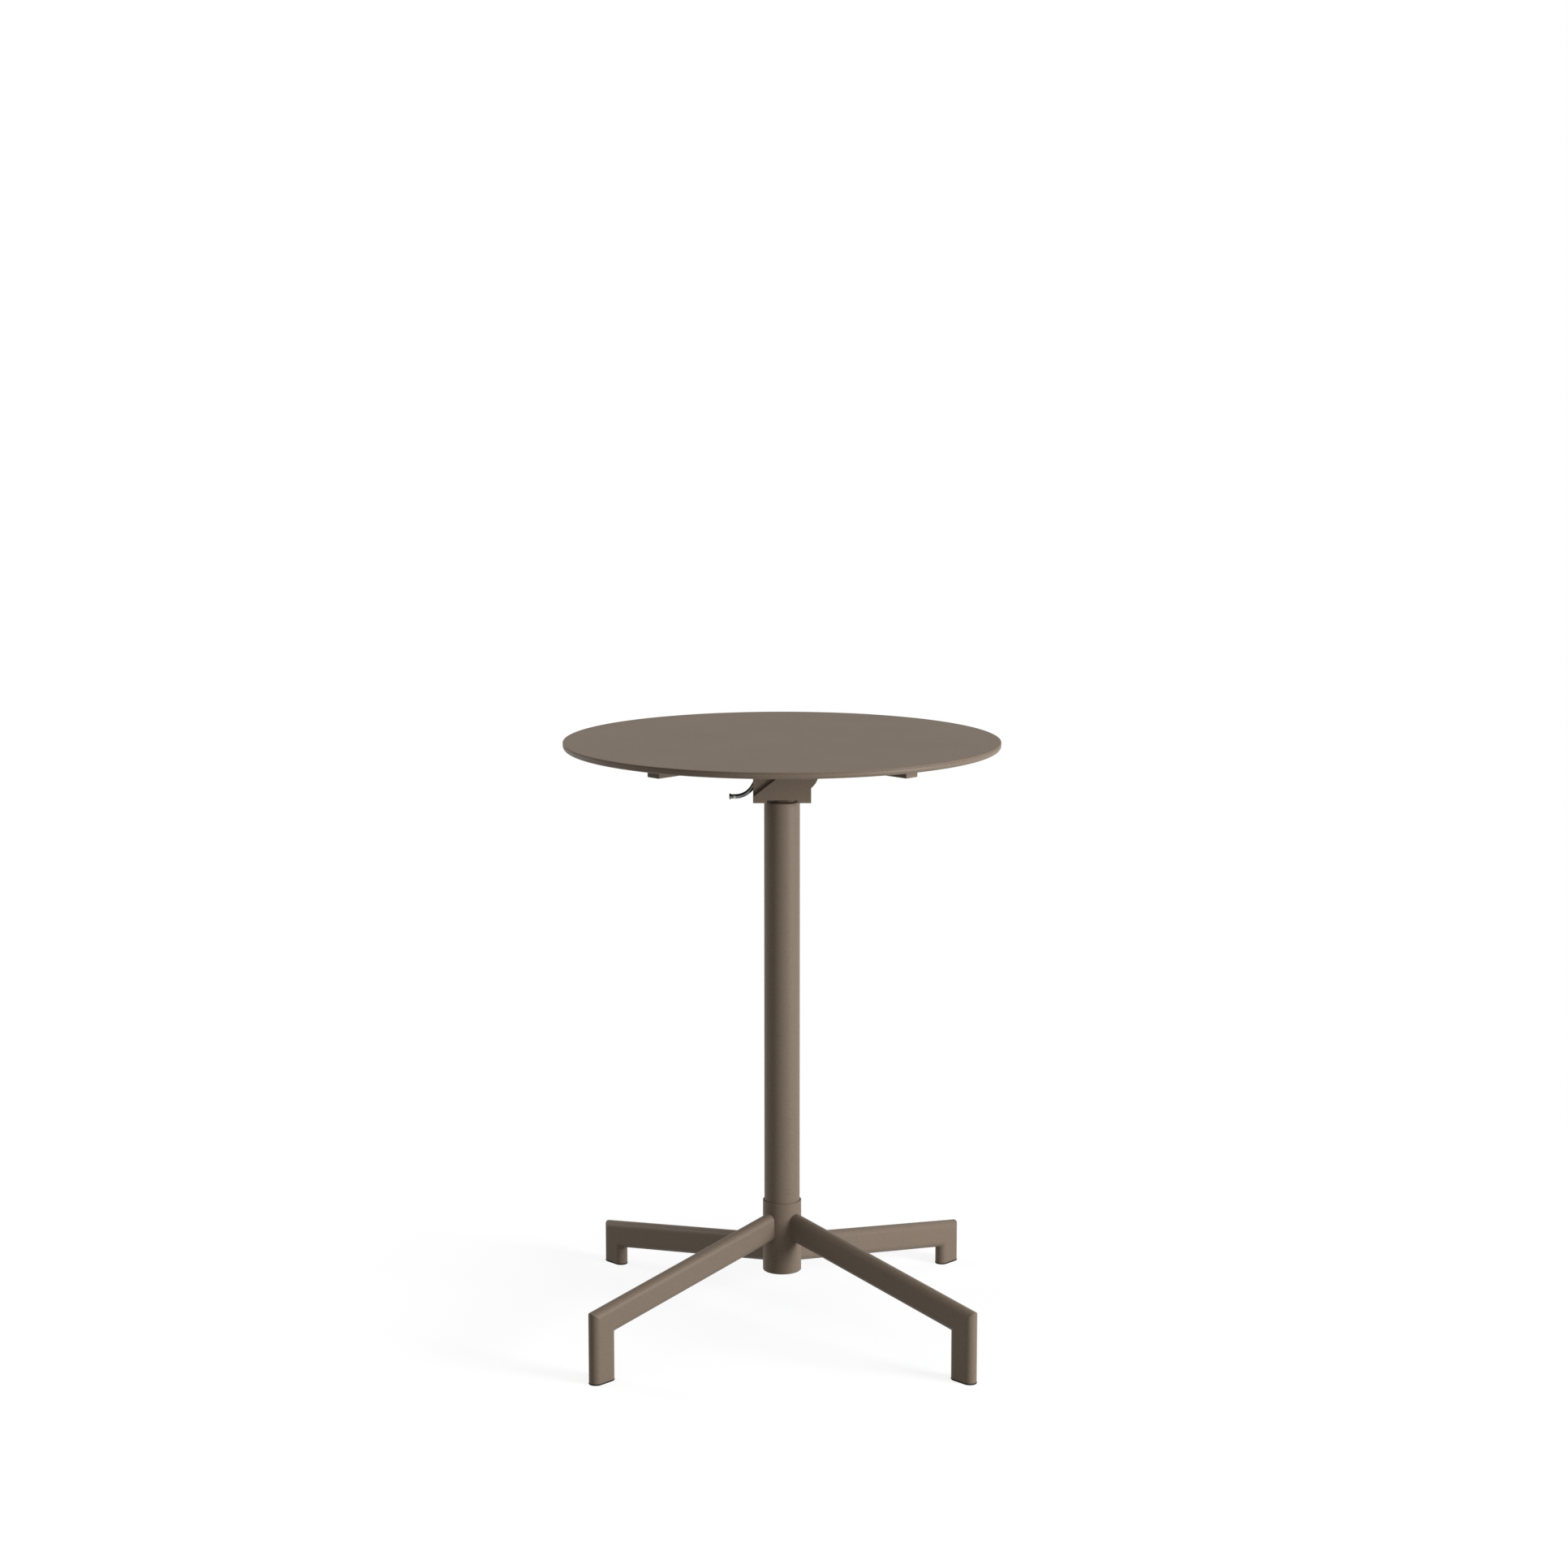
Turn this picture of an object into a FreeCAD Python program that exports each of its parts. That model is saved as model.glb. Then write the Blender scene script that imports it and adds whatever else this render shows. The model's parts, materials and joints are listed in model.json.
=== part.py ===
import FreeCAD, Part
import math
import os

# Pedestal table: round tilting top, telescopic column, nesting base with four legs.
# Millimetres, +Z up. The origin is on the floor under the column's axis, and -Y is the front.

Vector = FreeCAD.Vector

# Fits shared by all pieces
fit_gap = 0.03          # between two pieces that are pressed or welded together
running_gap = 0.05      # between a shaft and the hole it turns or slides in
rest_gap = 0.1          # above a rubber pad that a moving piece comes down on
weld_gap = 0.1          # between a saddle-cut tube end and the tube it is welded to

# Table top
top_height = 740.0
top_diameter = 540.0
plate_thickness = 2.0
plate_edge_round = 0.8
crease_depth = 0.5
board_thickness = 6.3
board_edge_round = 5.0

# Where the spider arms and the legs point, turning about the column's axis from +X
corner_names = ("back_right", "back_left", "front_left", "front_right")
first_corner_angle = 45.0

# Spider arms under the top
arm_width = 20.0
arm_height = 16.0
arm_wall = 1.5
arm_rim_gap = 54.0
arm_cheek_gap = 3.0
cap_flange = 1.5
cap_insert = 8.0
cap_gap = 0.1

# Screws under the top
screw_diameter = 4.4
screw_head_diameter = 8.5
screw_head_height = 2.4
screw_skin = 1.8
screw_hole_gap = 0.3
arm_screw_plate_gap = 23.0
arm_screw_end_gap = 61.0
head_screw_inset = 8.0

# Head plate and tilting head
head_plate_side = 116.0
head_plate_thickness = 2.5
head_wall = 3.0
head_side_gap = 0.6
head_corner_offset = 10.0
head_ear_gap = 0.7

# Yoke on the column, with the hinge that the top tilts on
hinge_edge_inset = 15.75
ear_radius = 25.2
ear_plate_gap = 0.8
yoke_width = 71.5
yoke_inside = 46.0
cheek_thickness = 4.0
cheek_left_height = 8.2
cheek_slant = 38.0
cheek_skirt = 3.5
notch_width = 37.4
web_thickness = 5.0
web_swing_gap = 4.6
hinge_pin_diameter = 10.0
hinge_pin_overhang = 2.5
hinge_bush_wall = 2.0
hinge_bush_flange = 3.0
hinge_bush_flange_thickness = 1.4
hinge_washer_diameter = 24.0
hinge_washer_thickness = 0.5
clip_thickness = 1.2
clip_band = 3.5
clip_groove_depth = 1.0
clip_mouth = 6.0
rest_pad_length = 12.0
rest_pad_width = 6.0
rest_pad_thickness = 1.7
rest_pad_inset = 1.0

# Release lever on the tilting head
lever_diameter = 5.7
lever_below_hinge = 34.0
lever_bead_length = 3.4
lever_bead_diameter = 7.3
lever_bead_round = 1.2
lever_bend_x = -58.0
lever_straight = 4.0
lever_bend_radius = 25.2
lever_bend_angle = 60.0
lever_shank = 20.0
lever_pin_diameter = 6.0
lever_pin_head_diameter = 8.0
lever_pin_head_height = 1.5
cam_radius = 7.0
cam_width = 10.0
nose_radius = 4.0
nose_lift_gap = 0.4

# Column: outer tube that slides on an inner post
column_diameter = 44.5
column_wall = 2.0
neck_diameter = 28.0
neck_height = 5.2
column_plug_height = 16.0
bush_wall = 1.25
post_wall = 2.0
post_head_room = 86.0
bush_length = 40.0
height_stroke = 280.0

# Gas spring inside the post
gas_post_gap = 3.0
gas_wall = 2.0
gas_cap = 4.0
gas_end_gap = 2.0
gas_piston_height = 14.0
gas_guide_height = 14.0
gas_stud_diameter = 14.0
gas_stud_above_web = 11.8
gas_nut_flats = 22.0
gas_nut_height = 8.0
gas_rod_diameter = 10.0
valve_diameter = 6.0
valve_floor = 1.0
valve_room = 6.0
valve_chamfer = 1.0
rod_nut_flats = 17.0
rod_nut_height = 8.0
rod_nut_overhang = 2.5
rod_end_recess = 0.5

# Base: hub sleeve, plug and legs
hub_slide_gap = 0.4
hub_wall = 1.5
hub_lip_below = 5.3
hub_lip_above = 14.1
base_plug_height = 9.5
base_spigot_height = 15.0
column_pad_thickness = 3.0
column_pad_gap = 0.5
leg_depth = 35.0
leg_width = 17.0
leg_wall = 1.5
front_foot_radius = 322.0
front_corner_height = 87.8
front_fall = 10.3
back_foot_radius = 331.0
back_corner_height = 53.8
back_fall = 9.7
glide_flange = 1.5
glide_overhang = 0.5
glide_chamfer = 0.4
glide_insert = 15.0
glide_gap = 0.1

# Levels and places that follow from the sizes above
corner_step = math.tau / len(corner_names)
corner_angles = {}
for place, name in enumerate(corner_names):
    corner_angles[name] = first_corner_angle + math.degrees(place * corner_step)
top_radius = top_diameter / 2
plate_bottom = top_height - plate_thickness
board_bottom = plate_bottom - board_thickness
screw_depth = board_thickness - screw_skin
arm_bottom = board_bottom - arm_height
arm_reach = top_radius - arm_rim_gap
arm_screw_radii = (head_plate_side * math.sqrt(0.5) + arm_screw_plate_gap, arm_reach - arm_screw_end_gap)
head_screw_radius = head_plate_side / 2 - head_screw_inset
head_top = board_bottom - head_plate_thickness
hinge_x = yoke_width / 2 - hinge_edge_inset
hinge_z = head_top - ear_plate_gap - ear_radius
web_top = hinge_z - ear_radius - web_swing_gap
web_bottom = web_top - web_thickness
skirt_bottom = web_bottom - cheek_skirt
cheek_inner = yoke_inside / 2
cheek_outer = cheek_inner + cheek_thickness
head_outer = cheek_inner - head_side_gap
head_inner = head_outer - head_wall
head_bottom = web_top + rest_pad_thickness + rest_gap
head_corner_x = hinge_x - head_corner_offset
arm_start = cheek_outer + arm_cheek_gap

column_radius = column_diameter / 2
column_bore = column_radius - column_wall
column_top = web_bottom - neck_height
column_plug_bottom = column_top - column_plug_height
post_radius = column_bore - bush_wall
post_bore = post_radius - post_wall
post_top = column_plug_bottom - post_head_room
hub_bore = column_radius + hub_slide_gap
hub_radius = hub_bore + hub_wall
gas_radius = post_bore - gas_post_gap
gas_bore = gas_radius - gas_wall
gas_top = column_plug_bottom
piston_top = gas_top - gas_cap - gas_end_gap
piston_bottom = piston_top - gas_piston_height
gas_guide_top = piston_bottom - height_stroke - gas_end_gap
gas_bottom = gas_guide_top - gas_guide_height
stud_radius = gas_stud_diameter / 2
stud_top = web_top + gas_stud_above_web
rod_radius = gas_rod_diameter / 2
valve_radius = valve_diameter / 2

front_rise = math.tan(math.radians(front_fall)) * (front_foot_radius - hub_radius)
back_rise = math.tan(math.radians(back_fall)) * (back_foot_radius - hub_radius)
back_arm_drop = leg_depth / math.cos(math.radians(back_fall))
hub_bottom = back_corner_height + back_rise - back_arm_drop - hub_lip_below
hub_top = front_corner_height + front_rise + hub_lip_above
rod_end = hub_bottom + rod_end_recess
rod_nut_bottom = rod_end + rod_nut_overhang
base_plug_bottom = rod_nut_bottom + rod_nut_height
base_plug_top = base_plug_bottom + base_plug_height
column_pad_top = base_plug_top + column_pad_thickness
column_bottom = column_pad_top + rest_gap

lever_radius = lever_diameter / 2
lever_tip_x = lever_bend_x - lever_straight - lever_bead_length
lever_z = hinge_z - lever_below_hinge
bend = math.radians(lever_bend_angle)
bend_end_x = lever_bend_x + lever_bend_radius * math.sin(bend)
bend_end_z = lever_z + lever_bend_radius * (1 - math.cos(bend))
lever_x = bend_end_x + lever_shank * math.cos(bend)
lever_pivot_z = bend_end_z + lever_shank * math.sin(bend)
valve_top = lever_pivot_z - nose_radius - nose_lift_gap


def save(name, *solids):
    """Write one node. Several solids share a node as a group."""
    shape = solids[0] if len(solids) == 1 else Part.Compound(list(solids))
    assert shape.isValid() and shape.Solids, name
    shape.exportStep("parts/" + name + ".step")
    print(name, len(shape.Solids), round(shape.Volume, 1))


def disc(radius, z0, z1, x=0.0, y=0.0):
    """Upright cylinder between two levels."""
    return Part.makeCylinder(radius, z1 - z0, Vector(x, y, z0))


def ring(outer, inner, z0, z1):
    """Upright tube between two levels, on the column's axis."""
    return disc(outer, z0, z1).cut(disc(inner, z0, z1))


def shaft(radius, x, z, y0, y1):
    """Cylinder along Y between two depths."""
    return Part.makeCylinder(radius, y1 - y0, Vector(x, y0, z), Vector(0, 1, 0))


def collar(outer, inner, x, z, y0, y1):
    """Tube along Y between two depths."""
    return shaft(outer, x, z, y0, y1).cut(shaft(inner, x, z, y0, y1))


def block(x0, x1, y0, y1, z0, z1):
    """Box between two corners."""
    return Part.makeBox(x1 - x0, y1 - y0, z1 - z0, Vector(x0, y0, z0))


def outline(start, steps, y=0.0):
    """Face in an X-Z plane. A step is a point for a line, or a pair (through, end) for an arc."""
    edges = []
    here = Vector(start[0], y, start[1])
    for step in steps + [start]:
        arc = isinstance(step[0], tuple)
        x, z = step[1] if arc else step
        there = Vector(x, y, z)
        if arc:
            edges.append(Part.Arc(here, Vector(step[0][0], y, step[0][1]), there).toShape())
        elif here.distanceToPoint(there) > 0:
            edges.append(Part.LineSegment(here, there).toShape())
        here = there
    return Part.Face(Part.Wire(edges))


def spun(start, steps):
    """Solid of revolution about the column's axis."""
    return outline(start, steps).revolve(Vector(0, 0, 0), Vector(0, 0, 1), 360)


def slab(start, steps, y0, y1):
    """Plate of an X-Z outline between two depths."""
    return outline(start, steps, y0).extrude(Vector(0, y1 - y0, 0))


def hexagon(flats, bore, z0, z1):
    """Hexagon nut between two levels."""
    corner = flats / math.sqrt(3)
    turns = [math.radians(60 * k) for k in range(7)]
    points = [Vector(corner * math.cos(turn), corner * math.sin(turn), z0) for turn in turns]
    return Part.Face(Part.makePolygon(points)).extrude(Vector(0, 0, z1 - z0)).cut(disc(bore, z0, z1))


def oval_face(depth, width, centre, along, across):
    """Flat-oval face: straight sides of a tube with fully rounded edges. along is its long way."""
    end = width / 2
    straight = along * (depth / 2 - end)
    tip = along * (depth / 2)
    side = across * end
    a = centre + straight + side
    b = centre - straight + side
    c = centre - straight - side
    d = centre + straight - side
    edges = [
        Part.LineSegment(a, b).toShape(),
        Part.Arc(b, centre - tip, c).toShape(),
        Part.LineSegment(c, d).toShape(),
        Part.Arc(d, centre + tip, a).toShape(),
    ]
    return Part.Face(Part.Wire(edges))


def oval_bar(depth, width, centre, along, direction):
    """Flat-oval bar in the X-Z plane, from centre and as long as direction."""
    return oval_face(depth, width, centre, along, Vector(0, 1, 0)).extrude(direction)


def turned(shape, angle):
    """Copy turned about the column's axis, in degrees."""
    copy = shape.copy()
    copy.rotate(Vector(0, 0, 0), Vector(0, 0, 1), angle)
    return copy


def pan_screw(x, y, seat, tip):
    """Screw with its head under a seat face and its shank reaching up to tip."""
    head = disc(screw_head_diameter / 2, seat - screw_head_height, seat, x, y)
    return head.fuse(disc(screw_diameter / 2, seat, tip, x, y)).removeSplitter()


def make_top():
    """Round plate and the board under it, with a crease between them and a rounded lower edge."""
    rim = top_radius
    soft = plate_edge_round
    soft_mid = soft * (1 - math.sqrt(0.5))
    plate = spun((0, plate_bottom), [
        (rim - crease_depth, plate_bottom),
        (rim, plate_bottom + crease_depth),
        (rim, top_height - soft),
        ((rim - soft_mid, top_height - soft_mid), (rim - soft, top_height)),
        (0, top_height),
    ])
    board_rim = rim - crease_depth
    edge = board_edge_round
    edge_mid = edge * (1 - math.sqrt(0.5))
    board = spun((0, board_bottom), [
        (board_rim - edge, board_bottom),
        ((board_rim - edge_mid, board_bottom + edge_mid), (board_rim, board_bottom + edge)),
        (board_rim, plate_bottom),
        (0, plate_bottom),
    ])
    pilot = screw_diameter / 2 + fit_gap
    for x, y in arm_screw_places() + head_screw_places():
        board = board.cut(disc(pilot, board_bottom, board_bottom + screw_depth + fit_gap, x, y))
    save("top_plate", plate)
    save("top_board", board)


def arm_screw_places():
    """Screws up through the spider arms."""
    places = []
    for degrees in corner_angles.values():
        angle = math.radians(degrees)
        for radius in arm_screw_radii:
            places.append((radius * math.cos(angle), radius * math.sin(angle)))
    return places


def head_screw_places():
    """Screws up through the head plate, on its two middle lines."""
    return [(head_screw_radius * x, head_screw_radius * y) for x, y in ((1, 0), (0, 1), (-1, 0), (0, -1))]


def make_spider():
    """Head plate, the four arms that are notched under it, their end caps and all the screws."""
    half = head_plate_side / 2
    plate = block(-half, half, -half, half, head_top, board_bottom)
    hole = screw_diameter / 2 + screw_hole_gap
    plate_blank = plate.copy()
    for x, y in head_screw_places():
        plate = plate.cut(disc(hole, head_top, board_bottom, x, y))
    save("head_plate", plate)

    side = arm_width / 2
    bore_side = side - arm_wall
    tube_end = arm_reach - cap_flange
    tube = block(0, tube_end, -side, side, arm_bottom, board_bottom)
    bore_bottom = arm_bottom + arm_wall
    bore_top = board_bottom - arm_wall
    tube = tube.cut(block(0, tube_end, -bore_side, bore_side, bore_bottom, bore_top))
    middle = block(-arm_reach, arm_reach, -arm_start, arm_start, arm_bottom, board_bottom)
    for name, angle in corner_angles.items():
        arm = turned(tube, angle).cut(middle).cut(plate_blank)
        for x, y in arm_screw_places():
            arm = arm.cut(disc(hole, arm_bottom, board_bottom, x, y))
        save("spider_arm_" + name, arm)

    plug_side = bore_side - cap_gap
    flange = block(tube_end, arm_reach, -side, side, arm_bottom, board_bottom)
    insert = block(tube_end - cap_insert, tube_end, -plug_side, plug_side,
                   bore_bottom + cap_gap, bore_top - cap_gap)
    cap = flange.fuse(insert).removeSplitter()
    save("arm_end_caps", *[turned(cap, angle) for angle in corner_angles.values()])

    tip = board_bottom + screw_depth
    save("arm_screws", *[pan_screw(x, y, arm_bottom, tip) for x, y in arm_screw_places()])
    save("head_screws", *[pan_screw(x, y, head_top, tip) for x, y in head_screw_places()])


def make_head():
    """Tilting head: two side walls under the head plate, with the hinge's bushes and washers."""
    left = -yoke_width / 2
    swing = ear_radius - head_ear_gap
    corner_rise = math.sqrt(swing ** 2 - (hinge_x - head_corner_x) ** 2)
    low = math.sqrt(0.5) * swing
    steps = [
        (head_corner_x, head_bottom),
        (head_corner_x, hinge_z - corner_rise),
        ((hinge_x + low, hinge_z - low), (hinge_x + swing, hinge_z)),
        (hinge_x + swing, head_top),
        (left, head_top),
    ]
    bush_bore = hinge_pin_diameter / 2 + running_gap
    bush_radius = bush_bore + hinge_bush_wall
    bushes = []
    washers = []
    for name, facing in (("front", -1), ("back", 1)):
        inner, outer = sorted((facing * head_inner, facing * head_outer))
        wall = slab((left, head_bottom), steps, inner, outer)
        wall = wall.cut(shaft(bush_radius + fit_gap, hinge_x, hinge_z, inner, outer))
        wall = wall.cut(shaft(lever_pin_diameter / 2 + fit_gap, lever_x, lever_pivot_z, inner, outer))
        save("head_wall_" + name, wall)
        flange_face = facing * (head_inner - hinge_bush_flange_thickness)
        y0, y1 = sorted((facing * head_inner, flange_face))
        sleeve = collar(bush_radius, bush_bore, hinge_x, hinge_z, inner, outer)
        flange = collar(bush_radius + hinge_bush_flange, bush_bore, hinge_x, hinge_z, y0, y1)
        bushes.append(sleeve.fuse(flange).removeSplitter())
        y0, y1 = sorted((facing * head_outer, facing * (head_outer + hinge_washer_thickness)))
        washers.append(collar(hinge_washer_diameter / 2, bush_bore, hinge_x, hinge_z, y0, y1))
    save("hinge_bushes", *bushes)
    save("hinge_washers", *washers)


def make_yoke():
    """Two cheeks on a web, the hinge pin with its clips, and the pads the head comes down on."""
    half = yoke_width / 2
    notch = notch_width / 2
    slant = math.radians(cheek_slant)
    left_top = skirt_bottom + cheek_left_height
    away_x = hinge_x + half
    away_z = hinge_z - left_top
    near = away_x * math.cos(slant) + away_z * math.sin(slant)
    aside = away_x * math.sin(slant) - away_z * math.cos(slant)
    reach = near - math.sqrt(ear_radius ** 2 - aside ** 2)
    slant_end = (-half + reach * math.cos(slant), left_top + reach * math.sin(slant))
    ear_foot = hinge_z - math.sqrt(ear_radius ** 2 - hinge_edge_inset ** 2)
    steps = [
        (-notch, skirt_bottom),
        (-notch, web_bottom),
        (notch, web_bottom),
        (notch, skirt_bottom),
        (half, skirt_bottom),
        (half, ear_foot),
        ((hinge_x, hinge_z + ear_radius), slant_end),
        (-half, left_top),
    ]
    pin_radius = hinge_pin_diameter / 2
    for name, facing in (("front", -1), ("back", 1)):
        y0, y1 = sorted((facing * cheek_inner, facing * cheek_outer))
        cheek = slab((-half, skirt_bottom), steps, y0, y1)
        save("yoke_cheek_" + name, cheek.cut(shaft(pin_radius + fit_gap, hinge_x, hinge_z, y0, y1)))
    web = block(-half, half, -cheek_inner, cheek_inner, web_bottom, web_top)
    save("yoke_web", web.cut(disc(stud_radius + fit_gap, web_bottom, web_top)))

    pin_end = cheek_outer + hinge_pin_overhang
    pin = shaft(pin_radius, hinge_x, hinge_z, -pin_end, pin_end)
    groove = pin_radius - clip_groove_depth
    clip_radius = groove + clip_band
    clip_seat = cheek_outer + fit_gap
    mouth_side = clip_mouth / 2
    clips = []
    for facing in (-1, 1):
        y0, y1 = sorted((facing * clip_seat, facing * (clip_seat + clip_thickness)))
        pin = pin.cut(collar(pin_radius, groove, hinge_x, hinge_z, y0, y1))
        clip = collar(clip_radius, groove + fit_gap, hinge_x, hinge_z, y0, y1)
        mouth = block(hinge_x - mouth_side, hinge_x + mouth_side, y0, y1, hinge_z - clip_radius, hinge_z)
        clips.append(clip.cut(mouth))
    save("hinge_pin", pin)
    save("hinge_clips", *clips)

    pad_x = -half + rest_pad_inset
    pads = []
    for facing in (-1, 1):
        y0, y1 = sorted((facing * cheek_inner, facing * (cheek_inner - rest_pad_width)))
        pads.append(block(pad_x, pad_x + rest_pad_length, y0, y1, web_top, web_top + rest_pad_thickness))
    save("head_rest_pads", *pads)


def make_lever():
    """Bent release lever with a flared tip, its cam and the pin it turns on."""
    turn = math.radians(lever_bend_angle / 2)
    start = Vector(lever_tip_x + lever_bead_length, 0, lever_z)
    bend_start = Vector(lever_bend_x, 0, lever_z)
    bend_mid = Vector(lever_bend_x + lever_bend_radius * math.sin(turn), 0,
                      lever_z + lever_bend_radius * (1 - math.cos(turn)))
    bend_end = Vector(bend_end_x, 0, bend_end_z)
    pivot = Vector(lever_x, 0, lever_pivot_z)
    path = Part.Wire([
        Part.LineSegment(start, bend_start).toShape(),
        Part.Arc(bend_start, bend_mid, bend_end).toShape(),
        Part.LineSegment(bend_end, pivot).toShape(),
    ])
    section = Part.Wire(Part.makeCircle(lever_radius, start, Vector(1, 0, 0)))
    rod = path.makePipeShell([section], True, False)
    cam_side = cam_width / 2
    save("lever_rod", rod.cut(shaft(cam_radius + weld_gap, lever_x, lever_pivot_z, -cam_side, cam_side)))

    tip = Vector(lever_tip_x, 0, lever_z)
    bead = Part.makeCylinder(lever_bead_diameter / 2, lever_bead_length, tip, Vector(1, 0, 0))
    rims = [edge for edge in bead.Edges if isinstance(edge.Curve, Part.Circle)]
    save("lever_tip", bead.makeFillet(lever_bead_round, rims))

    nose_x = -lever_x
    lean = math.acos((cam_radius - nose_radius) / nose_x)
    up = math.sin(lean)
    over = math.cos(lean)

    def tangent(x, radius, side):
        return (x + radius * over, lever_pivot_z + side * radius * up)

    cam = slab(tangent(lever_x, cam_radius, 1), [
        tangent(0, nose_radius, 1),
        ((nose_radius, lever_pivot_z), tangent(0, nose_radius, -1)),
        tangent(lever_x, cam_radius, -1),
        ((lever_x - cam_radius, lever_pivot_z), tangent(lever_x, cam_radius, 1)),
    ], -cam_side, cam_side)
    pin_radius = lever_pin_diameter / 2
    pin_hole = shaft(pin_radius + running_gap, lever_x, lever_pivot_z, -cam_side, cam_side)
    save("lever_cam", cam.cut(pin_hole))

    pin = shaft(pin_radius, lever_x, lever_pivot_z, -head_outer, head_outer)
    head_radius = lever_pin_head_diameter / 2
    for facing in (-1, 1):
        y0, y1 = sorted((facing * head_outer, facing * (head_outer + lever_pin_head_height)))
        pin = pin.fuse(shaft(head_radius, lever_x, lever_pivot_z, y0, y1))
    save("lever_pin", pin.removeSplitter())


def make_column():
    """Outer tube with its plug and neck, and the guide bush in its foot."""
    save("column_tube", ring(column_radius, column_bore, column_bottom, column_top))
    bore = stud_radius + fit_gap
    plug_radius = column_bore - fit_gap
    save("column_plug", spun((bore, column_plug_bottom), [
        (plug_radius, column_plug_bottom),
        (plug_radius, column_top),
        (neck_diameter / 2, column_top),
        (neck_diameter / 2, web_bottom),
        (bore, web_bottom),
    ]))
    bush_top = column_bottom + bush_length
    bush_bore = post_radius + running_gap
    save("column_guide_bush", ring(column_bore - fit_gap, bush_bore, column_bottom, bush_top))


def make_post():
    """Inner post in the hub, the bush on its top, the plug up inside the hub and the pad on the plug."""
    save("inner_post", ring(post_radius, post_bore, base_plug_top, post_top))
    save("post_guide_bush",
         ring(column_bore - running_gap, post_radius + fit_gap, post_top - bush_length, post_top))
    spigot_top = base_plug_top + base_spigot_height
    rod_hole = rod_radius + fit_gap
    save("base_plug", spun((rod_hole, base_plug_bottom), [
        (hub_bore - fit_gap, base_plug_bottom),
        (hub_bore - fit_gap, base_plug_top),
        (post_bore - fit_gap, base_plug_top),
        (post_bore - fit_gap, spigot_top),
        (rod_hole, spigot_top),
    ]))
    save("column_pad", ring(column_radius, post_radius + column_pad_gap, base_plug_top, column_pad_top))
    save("hub_sleeve", ring(hub_radius, hub_bore, hub_bottom, hub_top))


def make_gas_spring():
    """Cylinder hung from the yoke by its stud, with a rod that stands in the base."""
    valve_hole = valve_radius + running_gap
    save("gas_cylinder", spun((gas_bore, gas_bottom), [
        (gas_radius, gas_bottom),
        (gas_radius, gas_top),
        (stud_radius, gas_top),
        (stud_radius, stud_top),
        (valve_hole, stud_top),
        (valve_hole, gas_top + valve_floor),
        (0, gas_top + valve_floor),
        (0, gas_top - gas_cap),
        (gas_bore, gas_top - gas_cap),
    ]))
    save("gas_rod_guide", ring(gas_bore - fit_gap, rod_radius + running_gap, gas_bottom, gas_guide_top))
    save("gas_piston", ring(gas_bore - running_gap, rod_radius + fit_gap, piston_bottom, piston_top))
    save("gas_rod", disc(rod_radius, rod_end, piston_top))
    save("gas_rod_nut", hexagon(rod_nut_flats, rod_radius + fit_gap, rod_nut_bottom, base_plug_bottom))
    nut_top = web_top + gas_nut_height
    save("gas_spring_nut", hexagon(gas_nut_flats, stud_radius + fit_gap, web_top, nut_top))
    save("release_pin", spun((0, gas_top + valve_floor + valve_room), [
        (valve_radius, gas_top + valve_floor + valve_room),
        (valve_radius, valve_top - valve_chamfer),
        (valve_radius - valve_chamfer, valve_top),
        (0, valve_top),
    ]))


def make_leg(name, radius, corner, fall, angle):
    """Falling arm mitred to an upright foot, with a glide in its end."""
    fall = math.radians(fall)
    half = leg_depth / 2
    out = Vector(math.cos(fall), 0, -math.sin(fall))
    up = Vector(math.sin(fall), 0, math.cos(fall))
    outer_corner = Vector(radius, 0, corner)
    inner_height = corner + leg_depth * math.tan(fall) - leg_depth / math.cos(fall)
    inner_corner = Vector(radius - leg_depth, 0, inner_height)
    mitre = (outer_corner - inner_corner).normalize()
    inward = Vector(-mitre.z, 0, mitre.x)
    low = inner_corner - mitre * radius
    high = outer_corner + mitre * radius
    far = inward * radius
    arm_side = slab((low.x, low.z), [
        (high.x, high.z),
        (high.x + far.x, high.z + far.z),
        (low.x + far.x, low.z + far.z),
    ], -leg_depth, leg_depth)

    tip = outer_corner - up * half + out * leg_depth
    arm_run = out * -(tip.x - hub_bore / 2)
    foot_base = Vector(radius - half, 0, glide_flange)
    foot_run = Vector(0, 0, corner)
    bore_depth = leg_depth - 2 * leg_wall
    bore_width = leg_width - 2 * leg_wall
    arm = oval_bar(leg_depth, leg_width, tip, up, arm_run)
    arm = arm.cut(oval_bar(bore_depth, bore_width, tip, up, arm_run))
    across = Vector(1, 0, 0)
    foot = oval_bar(leg_depth, leg_width, foot_base, across, foot_run)
    foot = foot.cut(oval_bar(bore_depth, bore_width, foot_base, across, foot_run))
    saddle = disc(hub_radius + weld_gap, 0, top_height)
    save("leg_arm_" + name, turned(arm.common(arm_side).cut(saddle), angle))
    save("leg_foot_" + name, turned(foot.cut(arm_side), angle))

    floor = Vector(radius - half, 0, 0)
    spread = 2 * glide_overhang
    flange = oval_bar(leg_depth + spread, leg_width + spread, floor, across, Vector(0, 0, glide_flange))
    lowest = [edge for edge in flange.Edges if edge.BoundBox.ZMax < glide_flange / 2]
    flange = flange.makeChamfer(glide_chamfer, lowest)
    slack = 2 * glide_gap
    insert_run = Vector(0, 0, glide_insert)
    insert = oval_bar(bore_depth - slack, bore_width - slack, foot_base, across, insert_run)
    save("glide_" + name, turned(flange.fuse(insert).removeSplitter(), angle))


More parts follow.
